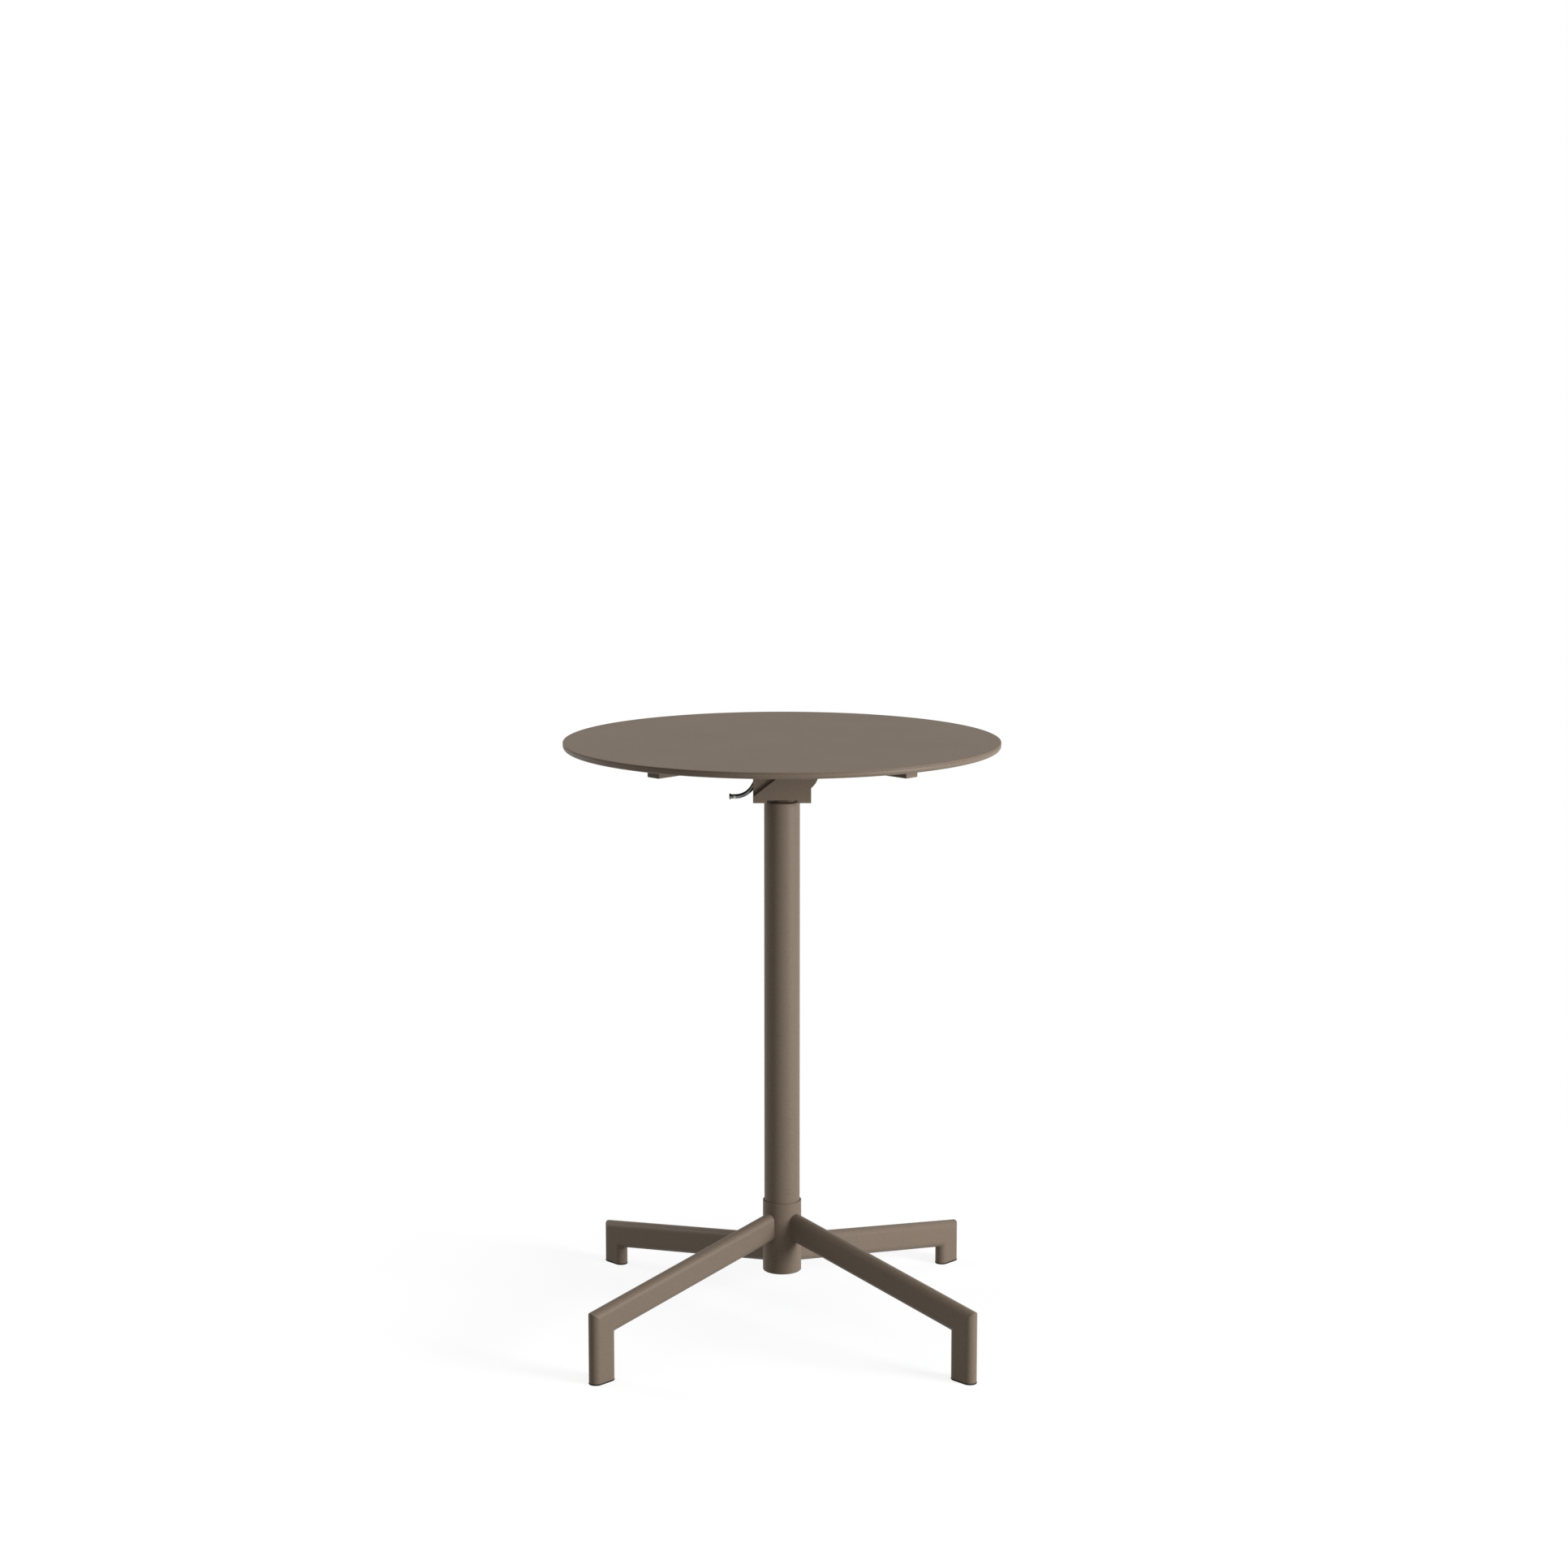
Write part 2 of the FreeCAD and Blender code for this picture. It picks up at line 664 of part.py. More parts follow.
os.makedirs("parts", exist_ok=True)
make_top()
make_spider()
make_head()
make_yoke()
make_lever()
make_column()
make_post()
make_gas_spring()
legs = {
    "front": (front_foot_radius, front_corner_height, front_fall),
    "back": (back_foot_radius, back_corner_height, back_fall),
}
for name, angle in corner_angles.items():
    make_leg(name, *legs[name.split("_")[0]], angle)
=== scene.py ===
# %% [markdown]
# # A round pedestal table, one surface at a time
# The real table has a thin round top that tilts on a hinge, a tube that slides up an inner post,
# and four bent legs on a hub, nearly all of it steel under one taupe powder coat.
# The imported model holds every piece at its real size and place, so painting it would be the quick way.
# But its edges are razor sharp and its round faces are cut into flats, and both show in the light.
# So this lesson lays a finer surface over each piece that shows, and gives every surface a finish.

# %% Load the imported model
import json
import math

import bpy
import numpy as np
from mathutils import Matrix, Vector


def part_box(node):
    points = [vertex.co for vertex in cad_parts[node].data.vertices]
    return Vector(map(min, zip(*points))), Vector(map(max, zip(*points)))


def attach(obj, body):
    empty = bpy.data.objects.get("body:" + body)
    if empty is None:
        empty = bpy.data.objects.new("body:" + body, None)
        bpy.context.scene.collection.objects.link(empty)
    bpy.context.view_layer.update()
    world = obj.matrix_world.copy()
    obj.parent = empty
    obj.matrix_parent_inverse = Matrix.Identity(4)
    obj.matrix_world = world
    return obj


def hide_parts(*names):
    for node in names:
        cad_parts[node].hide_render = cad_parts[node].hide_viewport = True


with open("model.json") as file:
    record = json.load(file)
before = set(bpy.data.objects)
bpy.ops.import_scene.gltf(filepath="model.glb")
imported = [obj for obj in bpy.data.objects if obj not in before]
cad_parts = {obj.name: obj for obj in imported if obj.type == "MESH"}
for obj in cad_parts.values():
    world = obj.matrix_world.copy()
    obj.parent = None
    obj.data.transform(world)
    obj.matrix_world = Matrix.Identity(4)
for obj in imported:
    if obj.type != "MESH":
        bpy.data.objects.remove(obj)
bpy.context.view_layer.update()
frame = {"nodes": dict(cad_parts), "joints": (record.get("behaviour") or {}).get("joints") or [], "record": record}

# %% [markdown]
# ## Sizes come from the frame
# Every new piece has to sit exactly where its plain solid sits. All numbers could be typed in again,
# but then a change in the solid would leave the surface behind. Reading each solid's box keeps the two
# together, and only what a box can't tell, such as a wall or a round, is typed in. The work is done in
# millimetres, as in a workshop, and turned into metres at the very end.

# %% Read boxes and pivots in millimetres
mm = 0.001
cm3 = 1e-6


def corners(node):
    """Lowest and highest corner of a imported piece, in millimetres."""
    low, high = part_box(node)
    return np.array(low) / mm, np.array(high) / mm


pivots = {joint["name"]: np.array(joint["pos_m"]) / mm
          for joint in frame["joints"] if "pos_m" in joint}
hinge = pivots["top_tilt"][[0, 2]]
lever_pivot = pivots["lever_turn"][[0, 2]]
print("tilt hinge at x, z:", hinge, "lever pivot at x, z:", lever_pivot.round(2))

# %% [markdown]
# ## The camera
# The photograph was taken from far away and a little above the top, and its upright edges stay upright.
# A camera could be aimed by eye. Here its place, tilt and lens come from matching the rim of the top,
# the column and the feet in the picture, and a small downward shift of the frame keeps the tilt low.

# %% Place the camera
camera_place = (-13.9, -3370.1, 1211.8)
camera_pitch = 6.935
camera_yaw = 0.278
camera_lens = 63.288
camera_shift = -0.06
sensor_width = 36.0


def new_object(name, data):
    """New object with this mesh, lamp or camera, linked into the scene."""
    thing = bpy.data.objects.new(name, data)
    bpy.context.scene.collection.objects.link(thing)
    return thing


camera_data = bpy.data.cameras.new("camera")
camera_data.lens = camera_lens
camera_data.sensor_width = sensor_width
camera_data.shift_y = camera_shift
camera = new_object("camera", camera_data)
camera.location = Vector(camera_place) * mm
camera.rotation_euler = (math.radians(90 - camera_pitch), 0, math.radians(-camera_yaw))
bpy.context.scene.camera = camera
print("camera", round(camera.location.length, 2), "m from the foot of the column")

# %% [markdown]
# ## Surfaces from rings
# A tube, a disc, a plate and a bent leg have one thing in common: each is a stack of closed rings.
# Blender's primitives could be bent and bevelled into them, but a formula for the rings says exactly
# what the shape is. So one function joins neighbouring rings with quads. Both ends get a flat cap, or
# the last ring is joined back to the first, as in a tube with a wall.

# %% Join rings into a closed surface
def skin(rings, loop=False):
    """Points, quads and caps of a closed surface. rings[i, j] is point j of ring i.

    Point j of a ring is joined to point j + 1 and to point j of the next ring. In a loop the last ring
    is joined to the first one, and otherwise the two end rings are filled by a flat face each."""
    count, around = rings.shape[:2]
    index = np.arange(count * around).reshape(count, around)
    near = index if loop else index[:-1]
    far = np.roll(index, -1, axis=0)[:len(near)]
    quads = np.stack([near, np.roll(near, -1, axis=1), np.roll(far, -1, axis=1), far], axis=-1)
    caps = [] if loop else [index[0, ::-1], index[-1]]
    return rings.reshape(-1, 3), quads.reshape(-1, 4), caps


sample_quads, sample_caps = skin(np.zeros((3, 8, 3)))[1:]
print("three rings of eight points give", len(sample_quads), "quads and", len(sample_caps), "caps")

# %% Turn surfaces into a piece that rides on a body
def signed_volume(mesh):
    """Volume inside a closed mesh, below zero if its faces look inwards: a . (b x c) / 6, summed up."""
    mesh.calc_loop_triangles()
    places = np.empty(len(mesh.vertices) * 3)
    mesh.vertices.foreach_get("co", places)
    triangles = np.empty(len(mesh.loop_triangles) * 3, np.int32)
    mesh.loop_triangles.foreach_get("vertices", triangles)
    a, b, c = places.reshape(-1, 3)[triangles.reshape(-1, 3)].transpose(1, 0, 2)
    return (a * np.cross(b, c)).sum() / 6


def add_piece(name, surfaces, finish, body, slot, *nodes):
    """One piece from closed surfaces in millimetres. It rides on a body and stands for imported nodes.

    Faces are turned outwards, and large flat faces rule the shading, so that eased edges catch the
    light."""
    points, faces, start = [], [], 0
    for places, quads, caps in surfaces:
        points.append(places)
        faces += (quads + start).tolist() + [(cap + start).tolist() for cap in caps]
        start += len(places)
    mesh = bpy.data.meshes.new(name)
    mesh.from_pydata((np.vstack(points) * mm).tolist(), [], faces)
    if signed_volume(mesh) < 0:
        mesh.flip_normals()
    mesh.shade_smooth()
    mesh.materials.append(finish)
    piece = new_object(name, mesh)
    piece.modifiers.new("flat_faces_rule", "WEIGHTED_NORMAL")
    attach(piece, body)
    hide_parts(*nodes)
    print(f"{name}: {len(mesh.vertices)} points, {signed_volume(mesh) / cm3:.1f} cm3")


# %% [markdown]
# ## Turned profiles and eased plates
# A **lathe** turns a profile about an axis. A **plate** repeats an outline through a thickness and draws
# it in at both faces, which eases its edges. Both start from a line with **softened** corners, because
# no coated edge is truly sharp: the powder flows into a small round, and that round is what makes a
# highlight.

# %% Soften the corners of an outline
def unit(vectors):
    """Vectors of length one."""
    return vectors / np.linalg.norm(vectors, axis=-1, keepdims=True)


def soften(points, radius, closed=True, steps=5):
    """Outline whose corners are arcs that touch both of their sides.

    With half the corner's angle h, the arc's centre lies radius / sin h from the corner along the
    bisector, and the arc starts and ends radius / tan h from the corner along the two sides. An open
    outline keeps its two end points."""
    points = np.asarray(points, float)
    inner = points if closed else points[1:-1]
    before = np.roll(points, 1, axis=0) if closed else points[:-2]
    after = np.roll(points, -1, axis=0) if closed else points[2:]
    back, ahead = unit(before - inner), unit(after - inner)
    half = np.arccos(np.clip((back * ahead).sum(axis=1), -1, 1))[:, None] / 2
    radius = np.broadcast_to(np.asarray(radius, float), len(inner))[:, None]
    centre = inner + unit(back + ahead) * radius / np.sin(half)
    start = (inner + back * radius / np.tan(half) - centre)[:, None]
    end = (inner + ahead * radius / np.tan(half) - centre)[:, None]
    turn = (np.pi - 2 * half)[:, None]
    share = np.linspace(0, 1, steps)[None, :, None]
    arc = (np.sin((1 - share) * turn) * start + np.sin(share * turn) * end) / np.sin(turn)
    rounded = (centre[:, None] + arc).reshape(-1, 2)
    return rounded if closed else np.vstack([points[:1], rounded, points[-1:]])


sample_square = soften([(0, 0), (4, 0), (4, 4), (0, 4)], radius=1)
print("a square with softened corners has", len(sample_square), "points")

# %% Turn a profile, or give an outline a thickness
def lathe(profile, sides=96):
    """Rings of (radius, height) points turned about an axis: x = r cos a, y = r sin a, z = h."""
    radius, height = np.asarray(profile, float).T[:, :, None]
    angle = np.linspace(0, 2 * np.pi, sides, endpoint=False)
    return np.stack([radius * np.cos(angle), radius * np.sin(angle), height + 0 * angle], axis=-1)


def inset(outline, amount):
    """A closed counter-clockwise outline moved inwards along the bisector of each of its corners."""
    ahead = unit(np.roll(outline, -1, axis=0) - outline)
    inward = np.column_stack([-ahead[:, 1], ahead[:, 0]])
    middle = unit(inward + np.roll(inward, 1, axis=0))
    return outline + amount * middle / (middle * inward).sum(axis=1, keepdims=True)


def plate(outline, low, high, ease, steps=4):
    """Rings of an outline between two levels, drawn in by a quarter circle of radius ease at each."""
    turn = np.linspace(0, np.pi / 2, steps)
    drawn = ease * (1 - np.sin(turn))
    rise = ease * (1 - np.cos(turn))
    levels = np.concatenate([low + rise, high - rise[::-1]])
    amounts = np.concatenate([drawn, drawn[::-1]])
    return np.stack([
        np.column_stack([inset(outline, amount), np.full(len(outline), level)])
        for amount, level in zip(amounts, levels)
    ])


def box_outline(low, high, radius):
    """Rectangle between two corners, with rounded corners, counter-clockwise."""
    return soften([low, (high[0], low[1]), high, (low[0], high[1])], radius)


sample_plate = plate(box_outline(low=(0, 0), high=(10, 4), radius=1), low=0, high=2, ease=0.3)
print("a plate has", sample_plate.shape[0], "rings of", sample_plate.shape[1], "points")

# %% [markdown]
# ## Shader sums that read like sums
# A finish is a small calculation: a speckle, plus a broad cloud, times a strength. Node trees hide that
# under wires, so a small class wraps a socket, and + - * on it add the Math nodes. Every other node
# comes from one method: first the node's settings, then a number or another wire for each socket.

# %% A socket that can be added and multiplied
class Wire:
    """A socket of a shader tree. Sums and products of wires are wires too."""

    def __init__(self, tree, socket=None):
        self.tree = tree
        self.socket = socket

    def add(self, kind, settings=(), inputs=(), output=0):
        """A new node of any kind, as a wire from one of its outputs."""
        node = self.tree.nodes.new(kind)
        for key, value in dict(settings).items():
            setattr(node, key, value)
        for key, value in dict(inputs).items():
            if isinstance(value, Wire):
                self.tree.links.new(value.socket, node.inputs[key])
            else:
                node.inputs[key].default_value = value
        return Wire(self.tree, node.outputs[output] if node.outputs else None)

    def math(self, operation, first, second):
        """One Math node on two values."""
        return self.add("ShaderNodeMath", {"operation": operation}, {0: first, 1: second})

    def __add__(self, other):
        return self.math("ADD", self, other)

    def __radd__(self, other):
        return self.math("ADD", other, self)

    def __sub__(self, other):
        return self.math("SUBTRACT", self, other)

    def __rsub__(self, other):
        return self.math("SUBTRACT", other, self)

    def __mul__(self, other):
        return self.math("MULTIPLY", self, other)

    def __rmul__(self, other):
        return self.math("MULTIPLY", other, self)

    def spread(self, low, high, kind="LINEAR"):
        """This wire stretched so that low becomes 0 and high becomes 1, and held there."""
        settings = {"interpolation_type": kind, "clamp": True}
        return self.add("ShaderNodeMapRange", settings, {"Value": self, "From Min": low, "From Max": high})

    def between(self, first, second):
        """The colour this far from the first colour to the second."""
        return self.add("ShaderNodeMix", {"data_type": "RGBA"}, {0: self, 6: first, 7: second}, 2)

    def mix(self, first, second):
        """The shader this far from the first shader to the second."""
        return self.add("ShaderNodeMixShader", (), {0: self, 1: first, 2: second})


# %% Start a finish, and a grain of a real size
noise_swing = (0.3, 0.7)  # noise seldom leaves this range


def start_finish(name):
    """A new material and an empty wire in its tree."""
    material = bpy.data.materials.new(name)
    material.use_nodes = True
    material.node_tree.nodes.clear()
    return material, Wire(material.node_tree)


def end_finish(wire, **sockets):
    """Principled shader with these sockets, named with _ for a space, into the material's output."""
    inputs = {key.replace("_", " "): value for key, value in sockets.items()}
    shader = wire.add("ShaderNodeBsdfPrincipled", (), inputs)
    wire.add("ShaderNodeOutputMaterial", (), {"Surface": shader})


def own_place(wire):
    """Place on the object, in its own coordinates, which are metres."""
    return wire.add("ShaderNodeTexCoord", output="Object")


def grain(wire, size, detail, stretch=(1, 1, 1)):
    """Noise from 0 to 1 with blotches of about size mm, longer along an axis with a small stretch."""
    place = wire.add("ShaderNodeMapping", (), {"Vector": own_place(wire), "Scale": stretch})
    inputs = {"Vector": place, "Scale": 1 / (size * mm), "Detail": detail}
    return wire.add("ShaderNodeTexNoise", (), inputs)


def relief(wire, height, depth):
    """Normal of a surface that rises and falls by depth millimetres with the height from 0 to 1."""
    inputs = {"Strength": 1.0, "Distance": depth * mm, "Height": height}
    return wire.add("ShaderNodeBump", (), inputs)


def grey(level):
    """A neutral colour with full alpha."""
    return (level, level, level, 1)


# %% [markdown]
# ## The powder coat
# Taupe powder is blown on dry and melted in an oven. It sets to a fine sandy skin: tiny pale and dark
# grains about a millimetre across, a faint unevenness from one hand's breadth to the next, and no sharp
# reflection at all. A flat colour with a bump would look like rubber, and large blotches would look
# like suede. So two fine grains share the speckle and the relief, and a broad cloud only just shifts
# the tone.

# %% Powder coat and coated board
taupe = np.array([0.192, 0.1445, 0.1045])
fine_size, coarse_size, cloud_size = 0.6, 1.3, 90
cloud_swing = (0.2, 0.8)
fine_share = 0.6
cloud_share = 0.05


def tint(colour, share):
    """A colour made lighter or darker by a share of itself, with full alpha."""
    return (*(colour * (1 + share)), 1)


def sandy_coat(name, roughness, sand, contrast, shine):
    """Taupe coat: its colour swings by contrast with three grains, and sand is the relief in mm."""
    material, wire = start_finish(name)
    fine = grain(wire, fine_size, detail=1.0).spread(*noise_swing)
    coarse = grain(wire, coarse_size, detail=1.0).spread(*noise_swing)
    cloud = grain(wire, cloud_size, detail=1.0).spread(*cloud_swing)
    sandy = fine_share * fine + (1 - fine_share) * coarse
    tone = (1 - cloud_share) * sandy + cloud_share * cloud
    end_finish(
        wire,
        Base_Color=tone.between(tint(taupe, -contrast), tint(taupe, contrast)),
        Roughness=roughness + 0.10 * fine - 0.03 * cloud,
        Normal=relief(wire, sandy, sand),
        Specular_IOR_Level=shine,
    )
    return material


powder_coat = sandy_coat("powder_coat_taupe", roughness=0.47, sand=0.02, contrast=0.22, shine=0.20)
top_coat = sandy_coat("powder_coat_top", roughness=0.60, sand=0.025, contrast=0.27, shine=0.16)
coated_board = sandy_coat("coated_board_taupe", roughness=0.45, sand=0.02, contrast=0.22, shine=0.24)
print("coats:", powder_coat.name, top_coat.name, coated_board.name)

# %% [markdown]
# ## Bright and ground steel
# The lever is polished and plated, so it is almost only reflection; faint smudges keep it from looking
# like liquid, and behind the bead a pale, dull band is painted into the dark plating, a painted reflection.
# The post and the small hardware are ground or zinc plated, and they carry fine upright lines. Lines
# could be an image, but a grain that is stretched along Z gives them at any size.

# %% Plated lever
smudge_size = 9
smudge_swing = (0.4, 0.7)
# Where the painted reflection lies along the lever, and its pale colour.
sheen_band_start, sheen_band_end = -62.5, -57.4
sheen_band_fade = 0.3
plating_pale = (0.17, 0.17, 0.175, 1)
plating_dark = (0.13, 0.13, 0.135, 1)
plating_painted_sheen = (0.40, 0.40, 0.395, 1)


def plated(name):
    """Dark mirror whose roughness follows faint smudges, with a painted reflection: a pale, duller band between
    two places along X.
    """
    material, wire = start_finish(name)
    smudge = grain(wire, smudge_size, detail=3.0).spread(*smudge_swing)
    along = wire.add("ShaderNodeSeparateXYZ", (), {"Vector": own_place(wire)}, "X")
    # Mask of the painted reflection: a pale band of plating behind the bead, standing in for the light it mirrors
    # there.
    after = along.spread((sheen_band_start - sheen_band_fade) * mm, sheen_band_start * mm)
    before = 1 - along.spread(sheen_band_end * mm, (sheen_band_end + sheen_band_fade) * mm)
    painted_sheen = after * before
    end_finish(
        wire,
        Base_Color=painted_sheen.between(smudge.between(plating_pale, plating_dark), plating_painted_sheen),
        Metallic=1.0,
        Roughness=0.04 + 0.07 * smudge + 0.33 * painted_sheen,
    )
    return material


chrome = plated("plated_lever")
# Width of the band of painted reflection behind the bead.
print("lever rubbed over", round(sheen_band_end - sheen_band_start, 1), "mm")

# %% Ground steel and zinc
line_size = 0.5
line_stretch = (1, 1, 0.02)
line_depth = 0.01
line_share = 0.85
smear_size = 25


def ground_steel(name, dark, pale):
    """Plain steel with fine lines along Z that change its roughness and give it a shallow relief."""
    material, wire = start_finish(name)
    lines = grain(wire, line_size, detail=2.0, stretch=line_stretch)
    smear = grain(wire, smear_size, detail=2.0).spread(*noise_swing)
    tone = line_share * lines + (1 - line_share) * smear
    end_finish(
        wire,
        Base_Color=tone.between((*dark, 1), (*pale, 1)),
        Metallic=1.0,
        Roughness=0.24 + 0.16 * lines + 0.03 * smear,
        Normal=relief(wire, lines, line_depth),
    )
    return material


plain_steel = ground_steel("ground_steel", dark=(0.36, 0.36, 0.355), pale=(0.62, 0.62, 0.61))
dark_zinc = ground_steel("dark_zinc", dark=(0.13, 0.13, 0.125), pale=(0.26, 0.26, 0.25))
print("metals:", chrome.name, plain_steel.name, dark_zinc.name)

# %% [markdown]
# ## Black pieces
# The glides and bushes are moulded plastic with a fine spark-eroded grain, the pads are dull rubber
# with a little dust, and the gas cylinder is enamelled. Pure black would swallow their edges, so each
# keeps a tone of its own and gets its character from roughness and relief.

# %% Plastic, rubber and enamel
dust_size = 14
dust_swing = (0.45, 0.8)


def black_finish(name, dark, pale, roughness, size, depth, coat, shine):
    """Near-black finish: a grain of this size tints it, changes its roughness and gives it relief."""
    material, wire = start_finish(name)
    pits = grain(wire, size, detail=3.0).spread(*noise_swing)
    dust = grain(wire, dust_size, detail=4.0).spread(*dust_swing)
    tone = 0.5 * pits + 0.5 * dust
    end_finish(
        wire,
        Base_Color=tone.between(grey(dark), grey(pale)),
        Roughness=roughness + 0.14 * dust - 0.06 * pits,
        Normal=relief(wire, pits, depth),
        Coat_Weight=coat,
        Specular_IOR_Level=shine,
    )
    return material


finishes = {
    "powder_coat": powder_coat,
    "coated_board": coated_board,
    "chrome": chrome,
    "plain_steel": plain_steel,
    "black_plastic": black_finish("black_plastic_moulded", dark=0.004, pale=0.012, roughness=0.55,
                                  size=0.6, depth=0.03, coat=0.0, shine=0.1),
    "rubber": black_finish("black_rubber", dark=0.012, pale=0.030, roughness=0.80,
                           size=1.2, depth=0.05, coat=0.0, shine=0.1),
    "black_enamel": black_finish("black_enamel", dark=0.010, pale=0.016, roughness=0.34,
                                 size=2.5, depth=0.01, coat=0.6, shine=0.5),
}
print(len(finishes), "finishes for the record's slots")

# %% [markdown]
# ## The top
# The top is a thin steel plate laid on a board. Its rim has two bands with a fine crease between them,
# an upright one and one that rolls under below, and the roll makes the top look thinner than it is.
# A cylinder with a bevel would have one band. Two turned profiles with their own rounds give both, and
# the crease is simply where they meet.

# %% Turn the plate and the board
flat_margin = 20.0
edge_round = 0.8
crease = 0.35
crease_round = 0.18
board_upper_round = 0.35
board_edge_round = 4.0
top_sides = 256

plate_low, plate_high = corners("top_plate")
rim = plate_high[0]
plate_profile = soften([
    (rim - flat_margin, plate_low[2]),
    (rim - crease, plate_low[2]),
    (rim, plate_low[2] + crease),
    (rim, plate_high[2]),
    (rim - flat_margin, plate_high[2]),
], [crease_round / 2, crease_round, edge_round], closed=False, steps=9)
round_plate = skin(lathe(plate_profile, top_sides))
add_piece("round_plate", [round_plate], top_coat, "top", "powder_coat", "top_plate")

board_low, board_high = corners("top_board")
board_profile = soften([
    (rim - flat_margin, board_low[2]),
    (rim, board_low[2]),
    (rim, board_high[2]),
    (rim - flat_margin, board_high[2]),
], [board_edge_round, board_upper_round], closed=False, steps=12)
round_board = skin(lathe(board_profile, top_sides))
add_piece("round_board", [round_board], coated_board, "top", "coated_board", "top_board")

# %% [markdown]
# ## Column, post and hub
# Three tubes sit inside each other: the hub sleeve that the legs are welded to, the column that slides
# in it, and the bright post that shows when the table is raised. A tube is a lathe profile that is
# itself a closed loop, so the wall has a real thickness. The eased lip of the hub and the narrow gap
# inside it draw the thin dark line that one sees round the foot of the column.

# %% Turn the tubes
def tube_piece(name, node, body, wall, ease, slot):
    """Tube with eased lips: a loop of inner and outer lines at the solid's radius and levels."""
    low, high = corners(node)
    outer, bore = high[0], high[0] - wall
    loop = soften([(bore, low[2]), (outer, low[2]), (outer, high[2]), (bore, high[2])], ease)
    add_piece(name, [skin(lathe(loop), loop=True)], finishes[slot], body, slot, node)


tube_piece("column_outer", "column_tube", "column", wall=2.0, ease=0.6, slot="powder_coat")
tube_piece("hub_shell", "hub_sleeve", "base", wall=1.5, ease=0.55, slot="powder_coat")
tube_piece("sliding_post", "inner_post", "base", wall=2.0, ease=0.5, slot="plain_steel")

# %% Turn the neck
neck_radius = 14.0
neck_fillet = 1.6
neck_ease = 0.3
plug_ease = 0.5
stud_bore = 7.03
plug_low, plug_high = corners("column_plug")
shoulder = corners("column_tube")[1][2]
neck_loop = soften([
    (stud_bore, plug_low[2]),
    (plug_high[0], plug_low[2]),
    (plug_high[0], shoulder),
    (neck_radius, shoulder),
    (neck_radius, plug_high[2]),
    (stud_bore, plug_high[2]),
], [neck_ease, plug_ease, neck_ease, neck_fillet, neck_ease, neck_ease])
neck = skin(lathe(neck_loop), loop=True)
add_piece("column_neck", [neck], powder_coat, "column", "powder_coat", "column_plug")

# %% [markdown]
# ## The legs
# Each leg is a flat-oval tube: an arm that falls away from the hub, mitred to an upright foot. The two
# front legs leave the hub above the back ones. A leg could be swept along a bent line, but a sweep
# pinches at the mitre. Here every point of the oval travels on its own straight line: from the hub's
# round wall, out along the arm, over the mitre and down the foot. A small hollow round at the hub is
# the weld under the coat.

# %% Draw the flat oval
leg_depth = 35.0
leg_width = 17.0
oval_steps = 17
oval_turn = np.linspace(0, np.pi, oval_steps)
oval_angle = np.concatenate([oval_turn, oval_turn + np.pi])
oval_straight = np.repeat([1.0, -1.0], oval_steps) * (leg_depth - leg_width) / 2


def oval(grow=0.0, scale=1.0):
    """Flat oval as (along its depth, across its width): two half circles, grown outwards and scaled."""
    radius = leg_width / 2 + grow
    return scale * (oval_straight + radius * np.sin(oval_angle)), scale * radius * np.cos(oval_angle)


print("leg section", leg_depth, "by", leg_width, "mm,", len(oval_angle), "points round it")

# %% Work out the rings of a leg
weld_fillet = 0.5
weld_sink = 0.4
weld_cap_scales = (0.05, 0.35, 0.7, 1.0)
mitre_round = 0.8
foot_ease = 0.4
weld_steps, mitre_steps, foot_steps = 7, 6, 4
hub_radius = corners("hub_sleeve")[1][0]


def leg_rings(reach, corner, fall, foot_level):
    """Rings of a leg as (outwards, across, up).

    On the arm, up = corner + (a - half) cos f - s sin f and out = reach + (a - half) sin f + s cos f for
    the depth a and the run s. The run starts where out^2 + across^2 is the hub's radius squared, and ends
    on the mitre at s = (a - half) tan(45 - f / 2)."""
    fall = math.radians(fall)
    half = leg_depth / 2
    slope = math.tan(math.pi / 4 - fall / 2)

    def on_arm(a, across, run):
        out = reach + (a - half) * math.sin(fall) + run * math.cos(fall)
        up = corner + (a - half) * math.cos(fall) - run * math.sin(fall)
        return np.column_stack([out, across, up])

    def hub_run(a, across, radius):
        wall = np.sqrt(radius ** 2 - across ** 2)
        return (wall - reach - (a - half) * math.sin(fall)) / math.cos(fall)

    rings = []
    for scale in weld_cap_scales:
        a, across = oval(weld_fillet, scale)
        rings.append(on_arm(a, across, hub_run(a, across, hub_radius - weld_sink)))
    for turn in np.linspace(0, np.pi / 2, weld_steps):
        a, across = oval(weld_fillet * (1 - math.sin(turn)))
        run = hub_run(a, across, hub_radius) + weld_fillet * (1 - math.cos(turn))
        rings.append(on_arm(a, across, run))
    a, across = oval()
    mitre = np.column_stack([reach - half + a, across, corner + (a - half) * slope])
    arm_side = mitre - mitre_round * np.array([math.cos(fall), 0, -math.sin(fall)])
    foot_side = mitre - mitre_round * np.array([0, 0, 1])
    for share in np.linspace(0, 1, mitre_steps):
        rest = 1 - share
        rings.append(rest ** 2 * arm_side + 2 * share * rest * mitre + share ** 2 * foot_side)
    for turn in np.linspace(0, np.pi / 2, foot_steps):
        a, across = oval(-foot_ease * (1 - math.cos(turn)))
        level = foot_level + foot_ease * (1 - math.sin(turn))
        rings.append(np.column_stack([reach - half + a, across, np.full(len(a), level)]))
    return np.stack(rings)


def turn_out(rings, degrees):
    """Rings given as (outwards, across, up), turned to point outwards at an angle from +X."""
    angle = math.radians(degrees)
    out, across, up = rings[..., 0], rings[..., 1], rings[..., 2]
    x = out * math.cos(angle) - across * math.sin(angle)
    y = out * math.sin(angle) + across * math.cos(angle)
    return np.stack([x, y, up], axis=-1)


print("legs start at the hub's wall,", round(hub_radius, 2), "mm from the column's axis")

